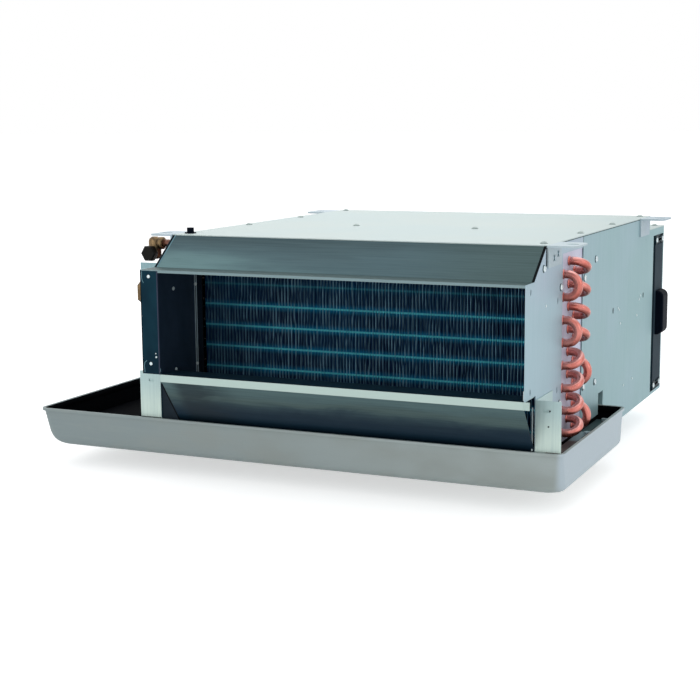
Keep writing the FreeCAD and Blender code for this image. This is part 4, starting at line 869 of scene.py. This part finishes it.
# Marks in the sheets, drawn with painted highlights and painted shade, seams between them and the folds
# beside the outlet
slotPlaces = [(16.0, 216.5), (115.0, 196.5), (17.5, 112.5), (116.0, 98.0)]
pressed = {
    "backHalf": (2.0, 4.2), "backDepth": (0.9, 0.1), "ovalHalf": (1.6, 3.6), "ovalRise": (0.05, 0.25),
    "ovalSteps": 18, "dotRise": 0.7,
    "dimple": (1.6, 0.9), "wallDimple": (2.3, 1.4), "sheetDimple": (1.9, 1.0),
    "plateDimples": [(69.5, 196.3), (71.0, 98.7)],
    "panelOvals": [(361.0, 155.0), (525.0, 156.0)],
    "panelDimples": [(393.0, 152.0), (399.0, 134.0), (489.0, 133.0), (501.0, 153.0), (471.0, 51.0),
                     (423.0, 50.0), (386.0, 155.0), (508.0, 157.0)],
    "sheetDimples": [196.4, 98.9], "sheetInset": 2.0,
    "foldDots": [(-210.2, 125.5, 1.1), (-210.7, 129.6, 0.7)],
    "foldArcs": [[(-226.6, 223.5), (-226.7, 217.0), (-226.0, 213.0), (-224.4, 210.5)],
                 [(-223.0, 121.0), (-225.8, 118.5), (-226.6, 114.5), (-226.0, 107.0)]],
    "earMarks": [(91.9, 245.2), (106.7, 248.6)], "earMarkHalf": (2.2, 3.2), "earMarkLift": 2.15,
}


def makePressedMarks():
    heap = Heap()
    start, rise = pressed["ovalRise"]
    steps = pressed["ovalSteps"]
    for place in pressed["panelOvals"]:
        loop = [bench(casingHalf + start, y, z) for y, z in ovalPlaces(*place, *pressed["ovalHalf"], steps)]
        verts, faces = slabShape(loop, Vector((rise * mm, 0, 0)))
        heap.take((verts, faces[:-2] + faces[-1:]))  # open at the back
    # painted shade: dark backs behind the front plate's slots
    wide, high = pressed["backHalf"]
    deep, shallow = pressed["backDepth"]
    for y, z in slotPlaces:
        heap.take(benchBox(innerHalf - deep, innerHalf - shallow, y - wide, y + wide, z - high, z + high))
    heap.make("darkSlots", "gapDark", "galvanised_sheet")
    heap = Heap()
    # painted highlights: pressed dimples and dots in the near-white dimple colour
    for side in (1, -1):
        for y, z in pressed["plateDimples"] + (pressed["panelDimples"] if side > 0 else []):
            heap.take(screwShape(bench(side * casingHalf, y, z), (side, 0, 0), *pressed["dimple"]))
    for y, z in pressed["plateDimples"]:
        heap.take(screwShape(bench(-innerHalf, y, z), (1, 0, 0), *pressed["wallDimple"]))
    for x, z, radius in pressed["foldDots"]:
        heap.take(screwShape(bench(x, 0, z), (0, -1, 0), radius, pressed["dotRise"]))
    sheetFront = (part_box("left_tube_sheet")[0].y - outletPlane) / mm
    for z in pressed["sheetDimples"]:
        place = bench(-innerHalf + pressed["sheetInset"], sheetFront, z)
        heap.take(screwShape(place, (0, -1, 0), *pressed["sheetDimple"]))
    heap.make("pressedDimples", "dimple", "galvanised_sheet", smooth=True)


seams = {
    "hoodFoot": (31.0, 225.5), "hoodEdge": 74.0, "hoodGap": 2.9, "hoodLeftGap": 2.0, "hoodShine": 1.5,
    "panelFront": 216.0, "panelFoot": 62.0, "panelRear": 558.0, "width": 0.8, "rise": 0.15,
    "earFront": 71.0, "earGap": 2.4, "earLow": 238.0, "earHigh": 258.0,
    "mark": (0.4, 6), "arc": (0.45, 8), "arcLift": 0.1,
}


def slopeStrip(x0, x1):  # thin strip on the hood's slope between two places across it
    lower, upper = seams["hoodFoot"], (seams["hoodEdge"], casingTop - sheetGauge)
    run = Vector((0, upper[0] - lower[0], upper[1] - lower[1])).normalized()
    loop = [bench(x0, *lower), bench(x1, *lower), bench(x1, *upper), bench(x0, *upper)]
    return slabShape(loop, Vector((0, -run.z, run.y)) * seams["rise"] * mm)


def makeSeams():
    dark, lines, pale = Heap(), Heap(), Heap()
    x, rise, wide, top = casingHalf, seams["rise"], seams["width"], casingTop - sheetGauge
    start = -innerHalf + seams["hoodLeftGap"]
    # painted shade: dark strips in the gaps at both ends of the hood, and a pale strip painting a highlight
    # along its left end
    dark.take(slopeStrip(innerHalf - seams["hoodGap"], innerHalf))
    dark.take(slopeStrip(-innerHalf, start))
    pale.take(slopeStrip(start, start + seams["hoodShine"]))
    for side in (1, -1):
        a, b = sorted((side * x, side * (x + rise)))
        lines.take(benchBox(a, b, seams["hoodEdge"], seams["panelRear"], top - wide, top))
        lines.take(benchBox(a, b, seams["panelFront"] - wide, seams["panelFront"], seams["panelFoot"], top))
    # painted shade: a dark strip in front of the front right ear's web
    dark.take(benchBox(x, x + 2 * rise, seams["earFront"] - seams["earGap"], seams["earFront"],
                       seams["earLow"], seams["earHigh"]))
    halfY, halfZ = pressed["earMarkHalf"]
    for y, z in pressed["earMarks"]:
        for lean, heap in ((1, lines), (-1, pale)):
            ends = [bench(x + pressed["earMarkLift"], y + end * halfY, z + end * lean * halfZ)
                    for end in (-1, 1)]
            heap.take(tubeShape(ends, *seams["mark"]))
    dark.make("darkSeams", "gapDark", "galvanised_sheet")
    lines.make("panelSeams", "seam", "galvanised_sheet")
    for arc in pressed["foldArcs"]:
        points = [bench(px, -seams["arcLift"], pz) for px, pz in arc]
        pale.take(tubeShape(points, *seams["arc"]))
    pale.make("paleEdges", "foldLine", "galvanised_sheet")


outlet = {
    "foldEdge": -206.0, "foldWidth": 1.3, "foldRise": 0.12, "foldLow": 105.5, "foldHigh": 224.5,
    "foldBevel": 0.05,
    "sideDepth": 38.6, "sideThick": 0.8, "sideLow": 38.5, "sideHigh": 96.0, "sideInset": 0.2,
    "lineTop": (1.15, 95.0), "lineFoot": (46.65, 34.0), "lineWidth": 1.6, "lineThick": 0.3,
    "endFolds": [(2.6, 1.4, 36.0, 37.0, 46.5, 93.0), (1.9, 0.3, 3.0, 4.0, 106.0, 116.0)],
    "legDots": [(243.5, 73.7, 0.9), (244.8, 90.4, 0.9)], "legFront": 37.0, "dotRise": 0.2,
    "legSlot": (8.0, 17.0, 38.1, 38.7, 87.5, 93.5),
}


def makeOutletTrim():
    edge = outlet["foldEdge"]
    fold = benchBox(edge - outlet["foldWidth"], edge, -outlet["foldRise"], 0, outlet["foldLow"],
                    outlet["foldHigh"])
    soften(makePiece("foldEdge", fold, "lilac", "galvanised_sheet"), outlet["foldBevel"], 1)
    # painted shade: a dark sheet fills the space left of the drip sheet, with a darker line along the
    # sheet's left edge
    heap = Heap()
    inset, depth = outlet["sideInset"], outlet["sideDepth"]
    heap.take(benchBox(-casingHalf + inset, edge - inset, depth, depth + outlet["sideThick"],
                       outlet["sideLow"], outlet["sideHigh"]), 1)
    right = edge + outlet["lineWidth"]
    loop = [bench(right, *outlet["lineTop"]), bench(right, *outlet["lineFoot"]),
            bench(edge, *outlet["lineFoot"]), bench(edge, *outlet["lineTop"])]
    heap.take(slabShape(loop, Vector((0, outlet["lineThick"] * mm, 0))))
    heap.make("dripSideSheet", ["gapDark", "dripSide"], "hood_sheet")
    # painted highlights: pale strips along the fold edges at the outlet's right end
    heap = Heap()
    for far, near, *rest in outlet["endFolds"]:
        heap.take(benchBox(innerHalf - far, innerHalf - near, *rest))
    heap.make("outletEndFold", "paleLine", "galvanised_sheet")
    heap, backs = Heap(), Heap()
    near, far, *rest = outlet["legSlot"]
    for side in (1, -1):
        x0, x1 = sorted((side * (casingHalf + near), side * (casingHalf + far)))
        backs.take(benchBox(x0, x1, *rest))
    # painted shade: small dark marks on the right leg
    for x, z, radius in outlet["legDots"]:
        heap.take(screwShape(bench(x, outlet["legFront"], z), (0, -1, 0), radius, outlet["dotRise"]))
    heap.make("legMarks", "gapDark", "galvanised_sheet")
    backs.make("legSlotBacks", "bracket", "galvanised_sheet")


makePressedMarks()
makeSeams()
makeOutletTrim()
print("marks and seams made")

# Drain pan: tray, rolled rim and black lining
pan = {
    "left": -399.0, "right": 259.0, "front": 33.0, "rear": 306.0, "top": 46.0, "rim": 2.0, "rimHeight": 3.0,
    "sheet": 1.5, "cornerRim": 9.0, "cornerFoot": 16.0, "cornerSteps": 10, "sharpTurn": 40,
    "bead": 1.2, "beadLift": 0.3, "beadSides": 12,
    "drafts": {"left": 3.0, "right": 0.5, "front": 8.0, "rear": 1.5},
    "footRadii": {"left": 17.0, "right": 8.0, "front": 7.0, "rear": 8.0},
    "outerLevels": [0.0, 0.3, 1.0, 2.2, 4.0, 7.0, 11.0, 16.0, 24.0, 34.0],
    "innerLevels": [34.0, 24.0, 12.0, 5.0],
    "lining": 2.0, "liningTop": 40.0, "floorRight": 30.0, "floorSlope": 0.0172, "drain": (-335.0, 235.0),
    "liningGap": 0.05, "liningFoot": 0.1, "liningOuter": [2.5, 4.5, 8.0, 16.0, 28.0],
    "liningInner": [36.0, 31.0, 27.0], "wellRadius": 20.0, "wellSteps": 32,
    "skin": 1.75, "step": 2.2,
    "skinWaves": [(1.0, 0.09, 1.7), (0.6, 0.4, 5.1)],
    "skinProfile": [(0.0, 0.0, 45.75, 0.25), (0.9, 0.5, 45.6, 0.5), (1.9, 0.5, 43.0, 0.0),
                    (2.6, 0.0, 38.0, 0.0), (0.0, 0.0, 38.0, 0.0)],
}


def panInset(z, inset, side):  # how far a wall stands in from the rim line at a height
    lean = inset + pan["drafts"][side] * (1 - z / pan["top"])
    rise, curve = z - inset, pan["footRadii"][side] - inset
    return lean if rise >= curve else lean + curve - math.sqrt(max(0, curve ** 2 - (curve - rise) ** 2))


def trayRing(z, inset, spread=0.0):  # outline of the tray at a height, in bench X and Y
    walls = {"left": 1, "right": -1, "front": 1, "rear": -1}
    edges = [pan[side] + way * (panInset(z, inset, side) - spread) for side, way in walls.items()]
    radius = pan["cornerFoot"] + (pan["cornerRim"] - pan["cornerFoot"]) * z / pan["top"] - inset + spread
    return sum(cornerArcs(*edges, radius, pan["cornerSteps"]), [])


def trayPoints(z, inset):
    return [bench(x, y, z) for x, y in trayRing(z, inset)]


def makeTray():
    rimFoot, top, sheet = pan["top"] - pan["rimHeight"], pan["top"], pan["sheet"]
    rings = [trayPoints(z, 0) for z in pan["outerLevels"] + [rimFoot]]
    rings += [[bench(x, y, z) for x, y in trayRing(top, 0, pan["rim"])] for z in (rimFoot, top)]
    rings += [trayPoints(z, sheet) for z in [top] + pan["innerLevels"] + [sheet]]
    piece = makePiece("panTray", (sum(rings, []), ringFaces(len(rings), len(rings[0]))), "pan", "pan_steel",
                      smooth=True)
    piece.data.set_sharp_from_angle(angle=math.radians(pan["sharpTurn"]))
    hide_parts("drain_pan")


def floorHeight(x):  # the lining's floor falls towards the drain
    return pan["floorRight"] - (pan["right"] - x) * pan["floorSlope"]


def makeLining():
    sheet, top, steps = pan["sheet"], pan["liningTop"], pan["wellSteps"]
    wall, outside, low = sheet + pan["lining"], sheet + pan["liningGap"], sheet + pan["liningFoot"]
    well = arcPlaces(*pan["drain"], pan["wellRadius"], 0, 360, steps)[:-1]
    floor = trayRing(pan["liningInner"][-1], wall)
    rings = [trayPoints(z, outside) for z in [low] + pan["liningOuter"] + [top]]
    rings += [[bench(x, y, max(z, floorHeight(x))) for x, y in trayRing(z, wall)]
              for z in [top] + pan["liningInner"]]
    rings.append([bench(x, y, floorHeight(x)) for x, y in floor])
    heap = Heap()
    heap.take((sum(rings, []), ringFaces(len(rings), len(floor), False)))
    upper = [bench(x, y, floorHeight(x)) for x, y in well]
    lower = [bench(x, y, low) for x, y in well]
    heap.take((rings[-1] + upper, flatTriangles([floor, well])))
    outline = trayRing(low, outside)
    triangles = [tuple(reversed(t)) for t in flatTriangles([outline, well])]
    heap.take(([bench(x, y, low) for x, y in outline] + lower, triangles))
    heap.take((upper + lower, ringFaces(2, steps, False)))
    piece = heap.make("panLiner", "lining", "pan_lining", smooth=True)
    piece.data.set_sharp_from_angle(angle=math.radians(pan["sharpTurn"]))
    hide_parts("pan_lining")


def panRing(inset):  # points round the rim at even steps, in bench X and Y
    step, radius = pan["step"], pan["cornerRim"] - inset
    arcs = cornerArcs(pan["left"] + inset, pan["right"] - inset, pan["front"] + inset, pan["rear"] - inset,
                      radius, max(6, int(radius * math.pi / 2 / step)))
    points = []
    for i, arc in enumerate(arcs):
        (x, y), (endX, endY) = arc[-1], arcs[(i + 1) % 4][0]
        count = int(math.dist((x, y), (endX, endY)) / step)
        points += arc + [(x + (endX - x) * k / count, y + (endY - y) * k / count) for k in range(1, count)]
    return points


def makePanTrim():
    bead = pan["bead"]
    # painted highlight: the rolled bead takes the lighter rim colour
    points = [bench(x, y, pan["top"] - bead + pan["beadLift"]) for x, y in panRing(bead - pan["rim"])]
    tube = tubeShape(points, bead, pan["beadSides"], closed=True)
    makePiece("panRimBead", tube, "panRim", "pan_steel", smooth=True)
    ring = panRing(pan["skin"])
    count, corners = len(ring), len(pan["skinProfile"])
    verts, faces = [], []
    for i, (x, y) in enumerate(ring):
        along = (Vector(ring[(i + 1) % count]) - Vector(ring[i - 1])).normalized()
        wobble = sum(share * noise.noise(Vector((x * scale, y * scale, shift)))
                     for share, scale, shift in pan["skinWaves"])
        for reach, reachWobble, z, rise in pan["skinProfile"]:
            inward = reach + reachWobble * wobble
            verts.append(bench(x - along.y * inward, y + along.x * inward, z + rise * wobble))
    for i in range(count):
        a, b = corners * i, corners * ((i + 1) % count)
        faces += [(a + k, b + k, b + (k + 1) % corners, a + (k + 1) % corners) for k in range(corners)]
    makePiece("liningEdge", (verts, faces), "lining", "pan_lining", smooth=True)


makeTray()
makeLining()
makePanTrim()
print("pan made")

# Front plates and hanging ears
plates = {
    "outline": [(0, 105.5), (0, 225.5), (31, 225.5), (74, 259), (215.7, 259), (215.7, 246), (133, 246),
                (133, 36), (50, 36), (38, 42), (38, 105.5)],
    "slotHalf": (1.6, 3.6), "slotSteps": 14, "fold": 23.0, "foldLow": 105.5, "foldTop": 224.5,
    "lip": (-0.35, 0.9, 97.0, 105.5), "lipInset": 1.0, "lipReach": 5.0, "lipBevel": 0.12,
}
ear = {
    "reach": 32.0, "half": 25.0, "gauge": 2.0, "drop": 24.0, "corner": 8.0, "slotX": 250.0,
    "slotHalf": 2.2, "slotRadius": 4.5, "places": (96.0, 521.0), "cornerSteps": 6, "slotSteps": 8,
}


def plateShape(outline, holes, place):  # sheet with holes; place(u, v, side) gives its points
    loops = [outline] + holes
    triangles = flatTriangles(loops)
    flat = sum(loops, [])
    count, start = len(flat), 0
    verts = [place(u, v, side) for side in (0, 1) for u, v in flat]
    faces = [tuple(t) for t in triangles] + [tuple(count + i for i in reversed(t)) for t in triangles]
    for loop in loops:
        for k in range(len(loop)):
            a, b = start + k, start + (k + 1) % len(loop)
            faces.append((a, b, count + b, count + a))
        start += len(loop)
    return verts, faces


def squareUp(piece):  # make the faces of a sheet agree on which way is out
    bm = bmesh.new()
    bm.from_mesh(piece.data)
    bmesh.ops.remove_doubles(bm, verts=bm.verts, dist=1e-7)
    bmesh.ops.recalc_face_normals(bm, faces=bm.faces)
    bm.to_mesh(piece.data)
    bm.free()
    return piece


def makeFrontPlates():
    slots = [ovalPlaces(*place, *plates["slotHalf"], plates["slotSteps"]) for place in slotPlaces]
    for name, node, side, holes, finish in (
            ("rightFrontPlate", "right_front_plate", 1, slots, "plate"),
            ("leftFrontPlate", "left_front_plate", -1, [], "leftPlate")):
        heap = Heap()
        heap.take(plateShape(plates["outline"], holes,
                             lambda y, z, w, side=side: bench(side * (innerHalf + w * sheetGauge), y, z)))
        if side < 0:
            heap.take(benchBox(-casingHalf, -casingHalf + plates["fold"], 0, sheetGauge, plates["foldLow"],
                               plates["foldTop"]))
        piece = squareUp(heap.make(name, finish, "galvanised_sheet"))
        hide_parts(node)
    # painted highlight: the lip's right end drawn pale
    lip = benchBox(innerHalf - plates["lipInset"], casingHalf + plates["lipReach"], *plates["lip"])
    soften(makePiece("outletLipEnd", lip, "lipEnd", "hood_sheet"), plates["lipBevel"], 1)


def makeEars():
    heap = Heap()
    half, gauge = ear["half"], ear["gauge"]
    for side in (1, -1):
        for y in ear["places"]:
            tip = casingHalf + ear["reach"]
            outline = tabOutline(casingHalf, tip, y - half, y + half, ear["corner"], ear["cornerSteps"])
            slot = []
            for end in (1, -1):
                slot += arcPlaces(ear["slotX"] + end * ear["slotHalf"], y, ear["slotRadius"], -90 * end, 180,
                                  ear["slotSteps"])
            heap.take(plateShape(outline, [slot],
                                 lambda u, v, w, side=side: bench(side * u, v, casingTop - w * gauge)))
            x0, x1 = sorted((side * casingHalf, side * (casingHalf + gauge)))
            heap.take(benchBox(x0, x1, y - half, y + half, casingTop - ear["drop"], casingTop - gauge))
    piece = squareUp(heap.make("hangingEars", "ear", "galvanised_sheet"))
    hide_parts("hanging_ears")


makeFrontPlates()
makeEars()
print("front plates and ears made")

# Filter end: pull and clips
filterEnd = {
    "middleY": 619.0, "stripFront": 595.0, "stripRear": 641.8, "slotBottom": 12.0, "slotTop": 231.0,
    "clipHeight": 12.0, "gap": 1.2, "clipInside": 3.0, "clipFace": 1.2, "armRise": 0.6, "armReach": 22.0,
    "armLean": 3.6, "armHalf": 2.4, "screwY": 18.0, "screw": (3.4, 2.3, 0.4),
    "handleLow": 91.0, "handleHigh": 153.0, "handleHalf": 16.0, "handleDepth": 11.0, "handleCorner": 9.0,
    "handleRows": [(0.0, 1.5), (0.8, 0.5), (2.4, 0.0)], "handleTaper": 40.0, "handleSteps": 8,
    "handleBevel": (0.6, 3, 40),
}


def makeHandle():  # rounded pull: a bar with large outer corners, drawn in a little at its two sides
    low, high, half = filterEnd["handleLow"], filterEnd["handleHigh"], filterEnd["handleHalf"]
    middle = (low + high) / 2
    outline = tabOutline(0, filterEnd["handleDepth"], low, high, filterEnd["handleCorner"],
                         filterEnd["handleSteps"])
    rows = [(inset - half, pull) for inset, pull in filterEnd["handleRows"]]
    rows += [(-y, pull) for y, pull in reversed(rows)]
    verts = [bench(casingHalf + max(0, x - pull), filterEnd["middleY"] + y,
                   z + (middle - z) * pull / filterEnd["handleTaper"])
             for y, pull in rows for x, z in outline]
    count = len(outline)
    faces = ringFaces(len(rows), count)
    del faces[count - 1:-2:count]  # open towards the casing
    piece = makePiece("filterPull", (verts, faces), "blackPlastic", "black_plastic", body="air_filter")
    soften(piece, *filterEnd["handleBevel"])
    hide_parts("filter_handle")


def makeClips():  # thin moulded clips shaped like an X, each held by two screws
    heap = Heap()
    middleY, half, face = filterEnd["middleY"], filterEnd["armHalf"], casingHalf - filterEnd["clipFace"]
    for z0 in (filterEnd["slotBottom"] + filterEnd["gap"],
               filterEnd["slotTop"] - filterEnd["gap"] - filterEnd["clipHeight"]):
        z1 = z0 + filterEnd["clipHeight"]
        heap.take(benchBox(casingHalf - filterEnd["clipInside"], face, filterEnd["stripFront"],
                           filterEnd["stripRear"], z0, z1))
        middle = (z0 + z1) / 2
        for lean in (1, -1):
            for part in (1, -1):
                end, tip = middleY + part * filterEnd["armReach"], middle + lean * filterEnd["armLean"]
                loop = [bench(face, end, tip - half), bench(face, end, tip + half),
                        bench(face, middleY, middle + half), bench(face, middleY, middle - half)]
                thick = filterEnd["clipFace"] + filterEnd["armRise"]
                heap.take(slabShape(loop, Vector((thick * mm, 0, 0))))
        for y in (middleY - filterEnd["screwY"], middleY + filterEnd["screwY"]):
            heap.take(screwShape(bench(casingHalf, y, middle), (1, 0, 0), *filterEnd["screw"]), 1)
    piece = heap.make("filterEndClips", ["clip", "zinc"], "grey_strip", body="air_filter")
    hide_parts("filter_clips")


makeHandle()
makeClips()
print("filter end dressed")

# Camera at the photograph's place
eye = {
    "place": (656.8, -1372.6, 391.55), "yaw": 24.43, "pitch": 9.17, "roll": -0.47, "lens": 73.21,
    "sensor": 36.0, "near": 0.05, "far": 60,
}


def makeCamera():
    yaw, pitch, roll = (math.radians(eye[k]) for k in ("yaw", "pitch", "roll"))
    forward = Vector((-math.sin(yaw) * math.cos(pitch), math.cos(yaw) * math.cos(pitch), -math.sin(pitch)))
    level = Vector((math.cos(yaw), math.sin(yaw), 0))
    rise = level.cross(forward)
    right = level * math.cos(roll) + rise * math.sin(roll)
    up = rise * math.cos(roll) - level * math.sin(roll)
    data = bpy.data.cameras.new("photoCamera")
    data.lens, data.sensor_width, data.sensor_fit = eye["lens"], eye["sensor"], "HORIZONTAL"
    data.clip_start, data.clip_end = eye["near"], eye["far"]
    camera = addObject("photoCamera", data)
    turn = Matrix((right, up, -forward)).transposed()
    camera.matrix_world = Matrix.Translation(bench(*eye["place"])) @ turn.to_4x4()
    bpy.context.scene.camera = camera


# Light and floor
studio = {
    "worldLight": 0.68, "worldTint": (0.98, 0.99, 1.0, 1.0), "white": (1, 1, 1, 1),
    "floorColour": (0.9, 0.9, 0.9, 1.0), "floorGlow": 0.55, "floorSize": 40.0, "floorDrop": 0.5,
    "lamps": [
        ("topLamp", (0.3, 0.2, 2.4), (0, 0, -0.1), 2.4, 7),
        ("rightLamp", (2.4, -0.4, 0.9), (0, 0, -0.1), 1.6, 6),
        ("frontLamp", (-0.9, -2.6, 0.8), (0, -0.1, -0.15), 1.8, 10),
        ("rearLamp", (-1.2, 2.4, 1.4), (0, 0, -0.1), 1.8, 14),
    ],
}


def makeWorld():
    world = bpy.data.worlds.new("studioWorld")
    bpy.context.scene.world = world
    nodes = Nodes(world, "ShaderNodeOutputWorld")
    soft = nodes.add("ShaderNodeBackground", {0: studio["worldTint"], 1: studio["worldLight"]})
    white = nodes.add("ShaderNodeBackground", {0: studio["white"]})
    feeds = {0: nodes.seenByEye(), 1: soft.outputs[0], 2: white.outputs[0]}
    nodes.end(nodes.add("ShaderNodeMixShader", feeds))


def makeFloor():
    low, size = cadBox[0].z - studio["floorDrop"] * mm, studio["floorSize"]
    mesh = bpy.data.meshes.new("studioFloor")
    corners = [(-size, -size, low), (size, -size, low), (size, size, low), (-size, size, low)]
    mesh.from_pydata(corners, [], [(0, 1, 2, 3)])
    material = bpy.data.materials.new("studioFloor")
    nodes = Nodes(material, "ShaderNodeOutputMaterial")
    diffuse = nodes.add("ShaderNodeBsdfDiffuse", {0: studio["floorColour"]})
    glow = nodes.add("ShaderNodeEmission", {1: nodes.times(nodes.seenByEye(), studio["floorGlow"])})
    nodes.end(nodes.add("ShaderNodeAddShader", {0: diffuse.outputs[0], 1: glow.outputs[0]}))
    mesh.materials.append(material)
    floor = addObject("studioFloor", mesh)


def makeLamps():
    for name, place, target, size, power in studio["lamps"]:
        data = bpy.data.lights.new(name, "AREA")
        data.shape, data.size, data.energy = "SQUARE", size, power
        lamp = addObject(name, data)
        lamp.location = place
        lamp.rotation_euler = (Vector(target) - Vector(place)).to_track_quat("-Z", "Y").to_euler()


makeCamera()
makeWorld()
makeFloor()
makeLamps()
bpy.context.scene.view_settings.view_transform = "Standard"
print("camera, light and floor set")
